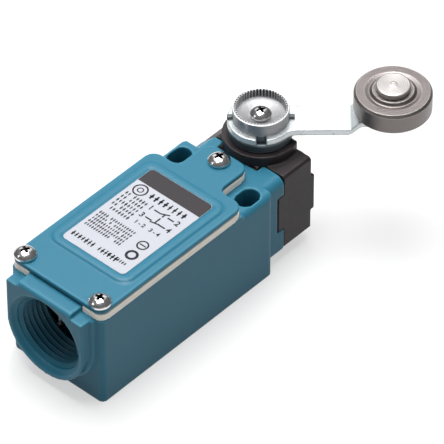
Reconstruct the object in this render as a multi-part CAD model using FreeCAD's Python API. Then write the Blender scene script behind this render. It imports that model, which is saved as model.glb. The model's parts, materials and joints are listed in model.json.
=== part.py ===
import FreeCAD, Part
import math
import os

# Limit switch with a die-cast body, a rotary head and an adjustable roller lever.
# Millimetres. The origin is on the back face, midway between the two fixing holes.
# +Z points out of the back face towards the cover, +Y towards the head.

V = FreeCAD.Vector
UP = V(0, 0, 1)
ALONG = V(0, 1, 0)

# ---- body casting ----
BODY_W = 30.0           # width across X
END_Y = -57.0           # end wall at the conduit side
CAVITY_START = -50.0    # inner face of the end block, where the conduit thread ends
LEDGE_Y = -6.5          # where the cover steps back to uncover the fixing holes
NECK_Y = 4.1            # far end of the fixing ledge
SEAM_Y = 7.4            # joint face with the head
PRONG_END = 9.9         # tips of the four corner prongs that take the head screws
BODY_TOP = 26.8         # face that carries the gasket
LEDGE_EDGE_R = 2.0      # rounded outer edge of the ledge
NECK_BOTTOM = 3.0
NECK_HALF = 13.5
NECK_TOP_R = 2.5
NECK_CUT = 4.2          # slope on the neck's upper corner on the -X side
NECK_LOW_R = 1.0
PRONG_IN_X = 6.5
PRONG_LOW = 10.0
PRONG_HIGH = 21.5
SIDE_WALL = 2.3
FLOOR = 2.5
CAVITY_END = -8.0
EDGE_R = 1.5            # vertical edges of the casting
TAB_HALF = 6.8          # half width of the tongue between the fixing holes
STEP_R = 3.0            # outward corner where the cover narrows
FLARE_R = 2.0           # inward corner where the cover narrows

# ---- fixing holes ----
FIX_SPACING = 22.0
FIX_R = 2.15
FIX_SEAT = 8.0          # height of the round hole, below the relief
RELIEF_X = 11.2
RELIEF_Y = -1.2
RELIEF_HALF_X = 2.45
RELIEF_HALF_Y = 3.4
RELIEF_R = 2.4

# ---- conduit entry ----
AXIS_Z = 15.85          # height of the conduit, tappet and plunger axis
THREAD_R = 9.19         # crest radius of the thread
THREAD_ROOT_R = 10.0
THREAD_PITCH = 1.5
CREST_W = 0.5
ROOT_W = 0.2
MOUTH_R = 11.4
MOUTH_DEPTH = 1.1
MOUTH_SHOULDER_R = 10.3
BOSS_HALF = 12.35
BOSS_OUT = 4.3          # how far the boss stands out of the end wall
BOSS_TOP = 27.1
PAD_HALF = 13.1
PAD_OUT = 1.3
TAB_W = 17.2            # raised lip on the boss, under the cover's edge
TAB_TOP = 28.5
TAB_IN = 0.8
TAB_R = 1.0
TAB_GAP = 0.1           # between the lip and the gasket's notch

# ---- cover and gasket ----
GASKET_T = 1.9
COVER_T = 1.5
COVER_END = 4.6
COVER_R = 2.5
PANEL_HALF = 12.9       # raised panel that carries the label
PANEL_LOW = -46.4
PANEL_HIGH = -9.7
PANEL_H = 0.6
PANEL_R = 2.5
PANEL_SLOPE = 0.54
LABEL_HALF = 10.1
LABEL_LOW = -44.2
LABEL_HIGH = -12.0
LABEL_T = 0.15
LABEL_R = 1.2
COVER_SCREW_X = 12.2
COVER_SCREW_Y = -54.5
TAB_SCREW_Y = 1.0
COVER_SCREW_LENGTH = 10.0
TAB_SCREW_LENGTH = 9.0
TIP_GAP = 0.05          # under the tip of a screw in a blind hole

# ---- head ----
HEAD_HALF = 13.4
HEAD_BOTTOM = 2.9
HEAD_TOP = 27.0
HEAD_END = 19.8
BAND_END = 21.0         # cross-shaped rib on the end face
BAND_LOW = 9.5
BAND_HIGH = 20.6
RIB_HALF = 6.0
HEAD_CHAMFER = 0.6
HEAD_CUT = 4.5          # slope on the head's upper corner on the -X side
TONGUE_GAP = 0.2        # gap between the tongue and the prongs
PRONG_GAP = 0.1
HEAD_GASKET_T = 0.5
HEAD_GASKET_EDGE = 0.4  # how far the gasket stays inside the joint face
HEAD_SCREW_X = 9.2
HEAD_SCREW_HIGH = 23.7
HEAD_SCREW_LOW = 6.5
ROUND_BOSS_R = 9.6
ROUND_BOSS_H = 2.8
ROUND_BOSS_LOW = 0.1    # how far the boss reaches down into the head's top
ROUND_BOSS_CUT = 19.6

# ---- shaft, cam and tappet ----
SHAFT_Y = 16.2
SHAFT_R = 3.0
SHAFT_LOW = 5.2
SHAFT_TOP = 34.6
RUNNING = 0.04          # radial clearance of a running fit
CAM_R = 3.9
CAM_LOW = 10.5
CAM_HIGH = 20.4
CAM_FLAT = 1.6          # distance of the cam's flat from the axis
CHAMBER_R = 4.1
CHAMBER_LOW = 9.2
BUSH_LOW = 20.6
BUSH_TOP = 29.0
SEAL_T = 0.7
TAPPET_R = 2.4
TAPPET_HEAD_R = 4.5
TAPPET_HEAD_T = 2.5
TAPPET_GAP = 0.1        # between the cam's round and the tappet, and the tappet and the plunger
TAPPET_END = -6.6
SPRING_SEAT_R = 4.7
SPRING_SEAT_Y = 1.5
TAPPET_WIRE_R = 0.35
TAPPET_TURNS = 5
TRAVEL = 2.5            # stroke of the tappet and of the contact plunger

# ---- lever ----
LEVER_DEG = 42.6        # direction of the lever at rest, from +X towards +Y
LEVER_LENGTH = 32.2     # shaft axis to roller axis
DISC_R = 8.05
DISC_LOW = 29.9
DISC_TOP = 32.4
ARM_LOW = 32.5
ARM_T = 1.8
ARM_W = 9.0
ARM_EYE_R = 8.3
ARM_BORE_R = 4.4
ARM_FILLET_R = 4.0
JOGGLE_START = 22.0
JOGGLE_RUN = 2.4
JOGGLE_RISE = 2.6
BEND_R = 1.2            # inner radius of the strip's two bends
NOTCH_W = 2.4
NOTCH_IN = 5.8          # the notches leave the eye whole inside this radius
HUB_R = 7.05
HUB_TOP = 38.0
HUB_FLOOR = 35.2
HUB_SPIGOT_R = 4.35
HUB_TOOTH_TIP = 6.15
HUB_TOOTH_ROOT = 6.6
HUB_TEETH = 40
HUB_LUG_R = 8.3
HUB_LUG_W = 1.1
HUB_SCREW_R = 2.63
HUB_SCREW_H = 2.1
HUB_SCREW_LENGTH = 9.5

# ---- roller ----
ROLLER_R = 9.7
ROLLER_W = 5.8
ROLLER_EDGE = 0.7
ROLLER_BORE = 3.05
COLLAR_R = 5.2
COLLAR_H = 0.6
WASHER_T = 0.25
WASHER_GAP = 0.05
PIN_R = 3.0
PIN_HEAD_R = 4.27
PIN_HEAD_H = 1.55
RIVET_R = 4.0
RIVET_H = 0.85

# ---- contact block ----
BLOCK_HALF = 11.9
BLOCK_BACK = -43.5
BLOCK_FRONT = -9.2
BLOCK_TOP = 21.0
LID_HALF = 4.6
LID_T = 1.0
SLIDE_HALF_X = 2.5
SLIDE_HALF_Z = 3.0
SLIDE_GAP = 0.1
SLIDE_FRONT = -12.2
SLIDE_BACK = -35.5
BLOCK_FRONT_WALL = -12.0
BLOCK_BACK_WALL = -41.0
BUTTON_R = 2.3
WINDOW_HALF_Z = 1.9
BRIDGE_T = 0.6
BRIDGE_HALF_X = 9.2
BRIDGE_HALF_Z = 1.6
NC_STOP = -21.0         # front wall of the normally closed contact's window
NO_STOP = -30.0         # back wall of the normally open contact's window
WEB_FRONT = -25.4
WEB_BACK = -26.4
TIP_X = 7.6
TIP_R = 1.3
TIP_T = 0.5
CLOSED_GAP = 0.02
OPEN_GAP = TRAVEL + 0.05
FIXED_T = 0.8
FIXED_IN = 5.5
FIXED_OUT = 10.5
POCKET_HALF = 10.6
POCKET_DROP = 3.35      # floor of the contact pockets, below the axis
FIXED_DROP = 2.25       # lower end of the fixed contacts, below the axis
FLANGE_LENGTH = 6.1
TERMINAL_OFFSET = 3.1   # from the contact plate to the terminal screw
CLAMP_W = 5.0
CLAMP_T = 0.9
TERMINAL_SCREW_LENGTH = 5.5
TERMINAL_HOLE = 5.0     # depth of the screw's hole in the block
BLOCK_SCREW_X = 9.2
BLOCK_SCREW_Y = -11.2
BLOCK_POST_R = 2.4
BLOCK_POST_TOP = 7.0
BLOCK_SCREW_LENGTH = 18.0
POST_HOLE_LOW = 1.3     # bottom of the tapped holes in the floor
POST_GAP = 0.1          # around a post, in the block
EARTH_X = -8.9
EARTH_Y = -46.75
EARTH_POST_R = 3.0
EARTH_POST_H = 3.0
EARTH_CLAMP_T = 0.8
EARTH_SCREW_LENGTH = 4.8
CONTACT_COIL_R = 1.3
CONTACT_WIRE_R = 0.2
NC_TURNS = 4
NO_TURNS = 3
PLUNGER_COIL_R = 1.9
PLUNGER_WIRE_R = 0.25
PLUNGER_TURNS = 5

# ---- worked out from the above ----
HALF_W = BODY_W / 2
COVER_LOW = BODY_TOP + GASKET_T
COVER_TOP = COVER_LOW + COVER_T
PANEL_TOP = COVER_TOP + PANEL_H
HEAD_FACE = SEAM_Y + HEAD_GASKET_T
TAPPET_FACE = SHAFT_Y - CAM_R - TAPPET_GAP
TAPPET_SHOULDER = TAPPET_FACE - TAPPET_HEAD_T
PLUNGER_FACE = TAPPET_END - TAPPET_GAP
ARM_TOP = ARM_LOW + ARM_T
PAD_Z = ARM_TOP + JOGGLE_RISE
ROLLER_LOW = PAD_Z + WASHER_T + WASHER_GAP
ROLLER_TOP = ROLLER_LOW + ROLLER_W
PIN_HEAD_LOW = ROLLER_TOP + COLLAR_H + WASHER_GAP
NC_PLATE = NC_STOP + TIP_T + CLOSED_GAP + TIP_T
NO_PLATE = NO_STOP - TIP_T - OPEN_GAP - TIP_T - FIXED_T
POCKET_LOW = AXIS_Z - POCKET_DROP
FIXED_LOW = AXIS_Z - FIXED_DROP

# Screws: head radius, head height, shank radius.
M3 = (2.8, 2.1, 1.5)
M3_HEAD_END = (2.6, 1.9, 1.5)
M25 = (2.1, 1.6, 1.25)
M35 = (2.4, 2.0, 1.6)
CLEAR = 0.2             # radial clearance of a screw in a plain hole
RECESS_W = 0.8
RECESS_SHARE = 0.62     # reach and depth of the cross recess, as a share of the head
HEAD_FLAT_SHARE = 0.72  # radius of a screw head's flat top, as a share of the head
HEAD_RIM_SHARE = 0.45   # height of a screw head's upright rim, as a share of the head


def box(x0, x1, y0, y1, z0, z1):
    return Part.makeBox(x1 - x0, y1 - y0, z1 - z0, V(x0, y0, z0))


def cyl(r, low, high, x=0.0, y=0.0):
    return Part.makeCylinder(r, high - low, V(x, y, low), UP)


def cyl_y(r, low, high, x=0.0, z=AXIS_Z):
    return Part.makeCylinder(r, high - low, V(x, low, z), ALONG)


def fuse(shapes):
    whole = shapes[0].multiFuse(shapes[1:])
    return whole.removeSplitter()


def rounded_face(corners, place):
    """A face with corners (u, v, radius), each rounded by a tangent arc."""
    count = len(corners)
    points = [V(u, v, 0) for u, v, _ in corners]
    starts, middles, ends = [], [], []
    for i, (_, _, radius) in enumerate(corners):
        here = points[i]
        if not radius:
            starts.append(here)
            middles.append(here)
            ends.append(here)
            continue
        back = (points[i - 1] - here).normalize()
        on = (points[(i + 1) % count] - here).normalize()
        half = back.getAngle(on) / 2
        reach = radius / math.tan(half)
        centre = here + (back + on).normalize() * (radius / math.sin(half))
        starts.append(here + back * reach)
        middles.append(centre + (here - centre).normalize() * radius)
        ends.append(here + on * reach)
    edges = []
    for i in range(count):
        start, middle, end = (place(p.x, p.y) for p in (starts[i], middles[i], ends[i]))
        if corners[i][2]:
            edges.append(Part.Arc(start, middle, end).toShape())
        after = starts[(i + 1) % count]
        edges.append(Part.LineSegment(end, place(after.x, after.y)).toShape())
    return Part.Face(Part.Wire(edges))


def slab(corners, low, high):
    """Upright plate: corners in X and Y, from low to high in Z."""
    face = rounded_face(corners, lambda u, v: V(u, v, low))
    return face.extrude(V(0, 0, high - low))


def bar(corners, low, high):
    """Bar along Y: corners in X and Z, from low to high in Y."""
    face = rounded_face(corners, lambda u, v: V(u, low, v))
    return face.extrude(V(0, high - low, 0))


def round_slab(x0, x1, y0, y1, low, high, r):
    return slab([(x0, y0, r), (x1, y0, r), (x1, y1, r), (x0, y1, r)], low, high)


def mirrored(corners):
    """Corners of the +X side, followed by the same corners on the -X side."""
    return corners + [(-u, v, r) for u, v, r in reversed(corners)]


def turned(profile, centre, axis):
    """Body turned about an axis from a closed list of (radius, height) corners."""
    along_y = axis.isEqual(ALONG, 1e-9)
    points = []
    for r, h in profile + profile[:1]:
        points.append(centre + (V(r, h, 0) if along_y else V(r, 0, h)))
    face = Part.Face(Part.makePolygon(points))
    return face.revolve(centre, axis, 360)


def screw(size, seat, length, out):
    """Pan head screw with a cross recess. seat is under the head, out points from shank to head."""
    head_r, head_h, shank_r = size
    rim_h = head_h * HEAD_RIM_SHARE
    head = Part.makeCylinder(head_r, rim_h, V(0, 0, 0), UP)
    dome = Part.makeCone(head_r, head_r * HEAD_FLAT_SHARE, head_h - rim_h, V(0, 0, rim_h), UP)
    shank = Part.makeCylinder(shank_r, length, V(0, 0, -length), UP)
    body = fuse([head, dome, shank])
    reach = head_r * RECESS_SHARE
    depth = head_h * RECESS_SHARE
    half = RECESS_W / 2
    for a, b in ((reach, half), (half, reach)):
        body = body.cut(box(-a, a, -b, b, head_h - depth, head_h + 1))
    body.Placement = FreeCAD.Placement(seat, FreeCAD.Rotation(UP, out))
    return body


def coil(low, high, mean_r, wire_r, turns, x=0.0, z=AXIS_Z):
    """Compression spring along Y between two seats."""
    length = high - low - 2 * wire_r
    helix = Part.makeLongHelix(length / turns, length, mean_r)
    ring = Part.Wire(Part.makeCircle(wire_r, V(mean_r, 0, 0), ALONG))
    spring = Part.Wire(helix.Edges).makePipeShell([ring], True, True)
    spring.Placement = FreeCAD.Placement(V(x, low + wire_r, z), FreeCAD.Rotation(UP, ALONG))
    return spring


# ---------------------------------------------------------------- body casting
def cover_outline(end):
    """Wide over the body, narrow between the fixing holes."""
    return mirrored([
        (HALF_W, END_Y, COVER_R),
        (HALF_W, LEDGE_Y, STEP_R),
        (TAB_HALF, LEDGE_Y, FLARE_R),
        (TAB_HALF, end, STEP_R),
    ])


def neck_profile():
    return [
        (NECK_HALF, NECK_BOTTOM, NECK_LOW_R),
        (NECK_HALF, BODY_TOP, NECK_TOP_R),
        (NECK_CUT - NECK_HALF, BODY_TOP, 0),
        (-NECK_HALF, BODY_TOP - NECK_CUT, 0),
        (-NECK_HALF, NECK_BOTTOM, NECK_LOW_R),
    ]


def cross_gap(low, high, slack):
    """Cross-shaped space between the four prongs, smaller by slack on each side."""
    tall = box(-PRONG_IN_X + slack, PRONG_IN_X - slack, low, high, 0, HEAD_TOP + 5)
    wide = box(-BODY_W, BODY_W, low, high, PRONG_LOW + slack, PRONG_HIGH - slack)
    return tall.fuse(wide)


def conduit_tool():
    """Turned cutter: lead-in cone, then a crest and a root for each turn of thread."""
    face = END_Y - BOSS_OUT
    flank = (THREAD_PITCH - CREST_W - ROOT_W) / 2
    profile = [(0, face - 1), (MOUTH_R + 1, face - 1), (MOUTH_R, face)]
    y = face + MOUTH_DEPTH
    profile += [(MOUTH_SHOULDER_R, y), (THREAD_R, y)]
    while y + THREAD_PITCH < CAVITY_START:
        y += CREST_W
        profile += [(THREAD_R, y), (THREAD_ROOT_R, y + flank)]
        profile += [(THREAD_ROOT_R, y + flank + ROOT_W)]
        y += THREAD_PITCH - CREST_W
        profile += [(THREAD_R, y)]
    profile += [(THREAD_R, CAVITY_START + 1), (0, CAVITY_START + 1)]
    return turned(profile, V(0, 0, AXIS_Z), ALONG)


def conduit_pad(half, out, top):
    """Pad on the end wall: half round below the conduit axis, upright sides above it."""
    disc = cyl_y(half, END_Y - out, END_Y)
    low = disc.common(box(-half, half, END_Y - out, END_Y, 0, AXIS_Z))
    return fuse([low, box(-half, half, END_Y - out, END_Y, AXIS_Z, top)])


def conduit_lip():
    """Raised lip on the boss, with a rounded outer edge."""
    low = END_Y - BOSS_OUT
    lip = box(-TAB_W / 2, TAB_W / 2, low, END_Y + TAB_IN, BODY_TOP - 1, TAB_TOP)
    front = [e for e in lip.Edges
             if abs(e.CenterOfMass.y - low) < 1e-6 and abs(e.CenterOfMass.z - TAB_TOP) < 1e-6]
    return lip.makeFillet(TAB_R, front)


def ledge_edges():
    """What the rounded outer edges of the ledge take away."""
    low = BODY_TOP - LEDGE_EDGE_R
    tools = []
    for side in (-1, 1):
        x = side * (HALF_W - LEDGE_EDGE_R)
        strip = box(min(x, side * BODY_W), max(x, side * BODY_W), LEDGE_Y, NECK_Y + 1, low, BODY_TOP + 1)
        tools.append(strip.cut(cyl_y(LEDGE_EDGE_R, LEDGE_Y - 1, NECK_Y + 2, x, low)))
    return tools


def housing():
    block = round_slab(-HALF_W, HALF_W, END_Y, NECK_Y, 0, BODY_TOP, EDGE_R)
    neck = bar(neck_profile(), NECK_Y - 1, PRONG_END)
    neck = neck.cut(cross_gap(SEAM_Y, PRONG_END + 1, 0))
    pad = conduit_pad(PAD_HALF, PAD_OUT, BODY_TOP)
    boss = conduit_pad(BOSS_HALF, BOSS_OUT, BOSS_TOP)
    body = fuse([block, neck, pad, boss, conduit_lip()])

    inner = HALF_W - SIDE_WALL
    cavity = round_slab(-inner, inner, CAVITY_START, CAVITY_END, FLOOR, BODY_TOP + 1, EDGE_R)
    posts = [cyl(EARTH_POST_R, FLOOR - 1, FLOOR + EARTH_POST_H, EARTH_X, EARTH_Y)]
    for side in (-1, 1):
        posts.append(cyl(BLOCK_POST_R, FLOOR - 1, BLOCK_POST_TOP, side * BLOCK_SCREW_X, BLOCK_SCREW_Y))
    body = body.cut(cavity).fuse(posts)

    tools = [conduit_tool()] + ledge_edges()
    for side in (-1, 1):
        tools.append(cyl(FIX_R, -1, FIX_SEAT + 1, side * FIX_SPACING / 2))
        x = side * RELIEF_X
        tools.append(round_slab(
            x - RELIEF_HALF_X, x + RELIEF_HALF_X, RELIEF_Y - RELIEF_HALF_Y, RELIEF_Y + RELIEF_HALF_Y,
            FIX_SEAT, BODY_TOP + 5, RELIEF_R))
        tools.append(cyl(M25[2], POST_HOLE_LOW, BLOCK_TOP, side * BLOCK_SCREW_X, BLOCK_SCREW_Y))
        for z in (HEAD_SCREW_LOW, HEAD_SCREW_HIGH):
            tools.append(cyl_y(M3_HEAD_END[2], NECK_Y, PRONG_END + 1, side * HEAD_SCREW_X, z))
    for x, y, length in cover_screw_places():
        tools.append(cyl(M3[2], COVER_TOP - length - TIP_GAP, COVER_TOP, x, y))
    tools.append(cyl(M25[2], POST_HOLE_LOW, BLOCK_TOP, EARTH_X, EARTH_Y))
    tools.append(cyl_y(TAPPET_R + RUNNING, CAVITY_END - 1, SPRING_SEAT_Y + 1))
    tools.append(cyl_y(SPRING_SEAT_R, SPRING_SEAT_Y, PRONG_END + 1))
    for tool in tools:
        body = body.cut(tool)
    return body.removeSplitter()


# ------------------------------------------------------------ cover and gasket
def cover_screw_places():
    return [
        (-COVER_SCREW_X, COVER_SCREW_Y, COVER_SCREW_LENGTH),
        (COVER_SCREW_X, COVER_SCREW_Y, COVER_SCREW_LENGTH),
        (0, TAB_SCREW_Y, TAB_SCREW_LENGTH),
    ]


def cover():
    plate = slab(cover_outline(COVER_END), COVER_LOW, COVER_TOP)
    panel = round_slab(-PANEL_HALF, PANEL_HALF, PANEL_LOW, PANEL_HIGH, COVER_TOP - 0.5, PANEL_TOP, PANEL_R)
    rim = [e for e in panel.Edges if abs(e.BoundBox.ZMin - PANEL_TOP) < 1e-6]
    panel = panel.makeChamfer(PANEL_SLOPE, rim)
    body = fuse([plate, panel])
    for x, y, _ in cover_screw_places():
        body = body.cut(cyl(M3[2] + CLEAR, COVER_LOW - 1, COVER_TOP + 1, x, y))
    return body


def cover_gasket():
    body = slab(cover_outline(COVER_END), BODY_TOP, COVER_LOW)
    inner = HALF_W - SIDE_WALL
    body = body.cut(round_slab(
        -inner, inner, CAVITY_START, CAVITY_END, BODY_TOP - 1, COVER_LOW + 1, EDGE_R))
    lip = TAB_W / 2 + TAB_GAP
    body = body.cut(box(-lip, lip, END_Y - 1, END_Y + TAB_IN + TAB_GAP, BODY_TOP - 1, COVER_LOW + 1))
    for x, y, _ in cover_screw_places():
        body = body.cut(cyl(M3[2] + CLEAR, BODY_TOP - 1, COVER_LOW + 1, x, y))
    return body


def cover_screws():
    return [screw(M3, V(x, y, COVER_TOP), length, UP) for x, y, length in cover_screw_places()]


def rating_label():
    return round_slab(
        -LABEL_HALF, LABEL_HALF, LABEL_LOW, LABEL_HIGH, PANEL_TOP, PANEL_TOP + LABEL_T, LABEL_R)


# ------------------------------------------------------------------------ head
def head_profile():
    c = HEAD_CHAMFER
    return [
        (HEAD_HALF, HEAD_BOTTOM + 1, 0),
        (HEAD_HALF, HEAD_TOP - c, 0),
        (HEAD_HALF - c, HEAD_TOP, 0),
        (HEAD_CUT - HEAD_HALF, HEAD_TOP, 0),
        (-HEAD_HALF, HEAD_TOP - HEAD_CUT, 0),
        (-HEAD_HALF, HEAD_BOTTOM + 1, 0),
        (1 - HEAD_HALF, HEAD_BOTTOM, 0),
        (HEAD_HALF - 1, HEAD_BOTTOM, 0),
    ]


def head_housing():
    block = bar(head_profile(), HEAD_FACE, BAND_END)
    corner_low = PRONG_END + PRONG_GAP
    tongue = cross_gap(HEAD_FACE - 1, corner_low, TONGUE_GAP)
    keep = tongue.fuse(box(-BODY_W, BODY_W, corner_low, HEAD_END, 0, HEAD_TOP + 5))
    keep = keep.fuse(box(-RIB_HALF, RIB_HALF, HEAD_END, BAND_END + 1, 0, HEAD_TOP + 5))
    keep = keep.fuse(box(-BODY_W, BODY_W, HEAD_END, BAND_END + 1, BAND_LOW, BAND_HIGH))
    block = block.common(keep)
    boss_top = HEAD_TOP + ROUND_BOSS_H
    boss = cyl(ROUND_BOSS_R, HEAD_TOP - ROUND_BOSS_LOW, boss_top, 0, SHAFT_Y)
    limit = box(-BODY_W, BODY_W, corner_low - 5, ROUND_BOSS_CUT, 0, boss_top + 1)
    limit = limit.fuse(box(-RIB_HALF, RIB_HALF, 0, BAND_END, 0, boss_top + 1))
    body = fuse([block, boss.common(limit)])
    tools = [
        cyl(CHAMBER_R, CHAMBER_LOW, boss_top + 1, 0, SHAFT_Y),
        cyl(SHAFT_R + RUNNING, SHAFT_LOW - 0.2, CHAMBER_LOW + 1, 0, SHAFT_Y),
        cyl_y(SPRING_SEAT_R, HEAD_FACE - 1, SHAFT_Y - 2),
    ]
    for x, z in head_screw_places():
        tools.append(cyl_y(M3_HEAD_END[2] + CLEAR, HEAD_FACE - 1, BAND_END + 1, x, z))
    for tool in tools:
        body = body.cut(tool)
    return body.removeSplitter()


def head_screw_places():
    return [(s * HEAD_SCREW_X, z) for s in (-1, 1) for z in (HEAD_SCREW_LOW, HEAD_SCREW_HIGH)]


def head_screws():
    length = HEAD_END - NECK_Y - TIP_GAP
    return [screw(M3_HEAD_END, V(x, HEAD_END, z), length, ALONG) for x, z in head_screw_places()]


def head_gasket():
    half = HEAD_HALF - HEAD_GASKET_EDGE
    plate = box(-half, half, SEAM_Y, HEAD_FACE,
                NECK_BOTTOM + HEAD_GASKET_EDGE, BODY_TOP - HEAD_GASKET_EDGE)
    plate = plate.common(cross_gap(SEAM_Y - 1, HEAD_FACE + 1, TONGUE_GAP))
    return plate.cut(cyl_y(SPRING_SEAT_R, SEAM_Y - 1, HEAD_FACE + 1))


def shaft_bush():
    outer = cyl(CHAMBER_R, BUSH_LOW, BUSH_TOP, 0, SHAFT_Y)
    return outer.cut(cyl(SHAFT_R + RUNNING, BUSH_LOW - 1, BUSH_TOP + 1, 0, SHAFT_Y))


def shaft_seal():
    outer = cyl(CHAMBER_R, BUSH_TOP, BUSH_TOP + SEAL_T, 0, SHAFT_Y)
    return outer.cut(cyl(SHAFT_R + RUNNING, BUSH_TOP - 1, BUSH_TOP + 2, 0, SHAFT_Y))


# ----------------------------------------------------------- shaft and tappet
def shaft():
    body = cyl(SHAFT_R, SHAFT_LOW, SHAFT_TOP, 0, SHAFT_Y)
    cam = cyl(CAM_R, CAM_LOW, CAM_HIGH, 0, SHAFT_Y)
    flat = box(-CAM_R, CAM_R, SHAFT_Y - CAM_R - 1, SHAFT_Y - CAM_FLAT, CAM_LOW, CAM_HIGH)
    body = fuse([body, cam]).cut(flat)
    tip = HUB_FLOOR - HUB_SCREW_LENGTH
    return body.cut(cyl(M3[2], tip - TIP_GAP, SHAFT_TOP + 1, 0, SHAFT_Y))


def tappet():
    head = cyl_y(TAPPET_HEAD_R, TAPPET_SHOULDER, TAPPET_FACE)
    rod = cyl_y(TAPPET_R, TAPPET_END, TAPPET_SHOULDER + 1)
    return fuse([head, rod])


def tappet_spring():
    mean_r = (TAPPET_R + SPRING_SEAT_R) / 2
    return coil(SPRING_SEAT_Y, TAPPET_SHOULDER, mean_r, TAPPET_WIRE_R, TAPPET_TURNS)


# ----------------------------------------------------------------------- lever
def lever_frame(shape):
    """Moves a shape built along +X from the shaft axis to the lever's place at rest."""
    turn = FreeCAD.Rotation(UP, LEVER_DEG)
    moved = shape.copy()
    moved.Placement = FreeCAD.Placement(V(0, SHAFT_Y, 0), turn).multiply(moved.Placement)
    return moved


def drive_disc():
    disc = cyl(DISC_R, DISC_LOW, DISC_TOP, 0, SHAFT_Y)
    return disc.cut(cyl(SHAFT_R, DISC_LOW - 1, DISC_TOP + 1, 0, SHAFT_Y))


def arm_plan():
    """Plan of the arm: eye, strip with filleted roots, and round end."""
    low, high = ARM_LOW - 5, PAD_Z + 5
    half = ARM_W / 2
    parts = [
        cyl(ARM_EYE_R, low, high),
        box(0, LEVER_LENGTH, -half, half, low, high),
        cyl(half, low, high, LEVER_LENGTH),
    ]
    v = half + ARM_FILLET_R
    u = math.sqrt((ARM_EYE_R + ARM_FILLET_R) ** 2 - v ** 2)
    for side in (-1, 1):
        root = slab([(0, 0, 0), (u, side * v, 0), (u, side * half, 0)], low, high)
        parts.append(root.cut(cyl(ARM_FILLET_R, low - 1, high + 1, u, side * v)))
    return fuse(parts)


def arm_strip():
    """Side view of the bent strip, extruded across the arm."""
    def run(z, first_r, second_r):
        end = JOGGLE_START + JOGGLE_RUN
        rise = z + JOGGLE_RISE
        return [(-BODY_W, z, 0), (JOGGLE_START, z, first_r), (end, rise, second_r), (2 * BODY_W, rise, 0)]
    outer_r = BEND_R + ARM_T
    corners = run(ARM_LOW, outer_r, BEND_R) + run(ARM_TOP, BEND_R, outer_r)[::-1]
    return bar(corners, -BODY_W, BODY_W)


def lever_arm():
    body = arm_plan().common(arm_strip())
    body = body.cut(cyl(ARM_BORE_R, ARM_LOW - 1, ARM_TOP + 1))
    body = body.cut(cyl(PIN_R, ARM_LOW - 1, PAD_Z + 1, LEVER_LENGTH))
    half = NOTCH_W / 2
    for side in (-1, 1):
        near, far = sorted((side * NOTCH_IN, side * (ARM_EYE_R + 1)))
        body = body.cut(box(-half, half, near, far, ARM_LOW - 1, ARM_TOP + 1))
    return lever_frame(body.removeSplitter())


def lever_hub():
    drum = cyl(HUB_R, ARM_TOP + 0.05, HUB_TOP)
    spigot = cyl(HUB_SPIGOT_R, DISC_TOP, ARM_TOP + 1)
    parts = [drum, spigot]
    half = (NOTCH_W - 0.2) / 2
    for side in (-1, 1):
        near, far = sorted((side * (NOTCH_IN + 0.1), side * HUB_R))
        parts.append(box(-half, half, near, far, DISC_TOP, ARM_TOP + 1))
        near, far = sorted((side * (HUB_R - 1), side * HUB_LUG_R))
        parts.append(box(near, far, -HUB_LUG_W / 2, HUB_LUG_W / 2, ARM_TOP + 0.05, HUB_FLOOR))
    body = fuse(parts)
    rim = []
    for i in range(2 * HUB_TEETH):
        r = HUB_TOOTH_TIP if i % 2 else HUB_TOOTH_ROOT
        a = math.pi * i / HUB_TEETH
        rim.append(V(r * math.cos(a), r * math.sin(a), HUB_FLOOR))
    cup = Part.Face(Part.makePolygon(rim + rim[:1])).extrude(V(0, 0, 10))
    body = body.cut(cup)
    body = body.cut(cyl(SHAFT_R, DISC_TOP - 1, SHAFT_TOP + 0.05))
    body = body.cut(cyl(M3[2] + CLEAR, SHAFT_TOP, HUB_FLOOR + 1))
    return lever_frame(body)


def hub_screw():
    size = (HUB_SCREW_R, HUB_SCREW_H, M3[2])
    return screw(size, V(0, SHAFT_Y, HUB_FLOOR), HUB_SCREW_LENGTH, UP)


def roller_pin():
    shank = cyl(PIN_R, ARM_LOW + JOGGLE_RISE - RIVET_H, PIN_HEAD_LOW + 0.5, LEVER_LENGTH)
    head = cyl(PIN_HEAD_R, PIN_HEAD_LOW, PIN_HEAD_LOW + PIN_HEAD_H, LEVER_LENGTH)
    low = ARM_LOW + JOGGLE_RISE
    rivet = cyl(RIVET_R, low - RIVET_H, low, LEVER_LENGTH)
    return lever_frame(fuse([shank, head, rivet]))


def roller_washer():
    outer = cyl(COLLAR_R, PAD_Z, PAD_Z + WASHER_T, LEVER_LENGTH)
    return lever_frame(outer.cut(cyl(PIN_R + 0.02, PAD_Z - 1, PAD_Z + 1, LEVER_LENGTH)))


def roller():
    e = ROLLER_EDGE
    profile = [
        (ROLLER_BORE, ROLLER_LOW), (ROLLER_R - e, ROLLER_LOW), (ROLLER_R, ROLLER_LOW + 0.6 * e),
        (ROLLER_R, ROLLER_TOP - 0.6 * e), (ROLLER_R - e, ROLLER_TOP), (COLLAR_R, ROLLER_TOP),
        (COLLAR_R, ROLLER_TOP + COLLAR_H), (ROLLER_BORE, ROLLER_TOP + COLLAR_H),
    ]
    return lever_frame(turned(profile, V(LEVER_LENGTH, 0, 0), UP))


# --------------------------------------------------------------- contact block
def sides():
    """The two contact plates of a pair stand at -X and +X."""
    return (-1, 1)


def pairs():
    """Contact pairs: plate start in Y, and the way its terminal flange points."""
    return {"nc": (NC_PLATE, 1), "no": (NO_PLATE, -1)}


def terminal_y(plate, way):
    face = plate + FIXED_T if way > 0 else plate
    return face + way * TERMINAL_OFFSET


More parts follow.
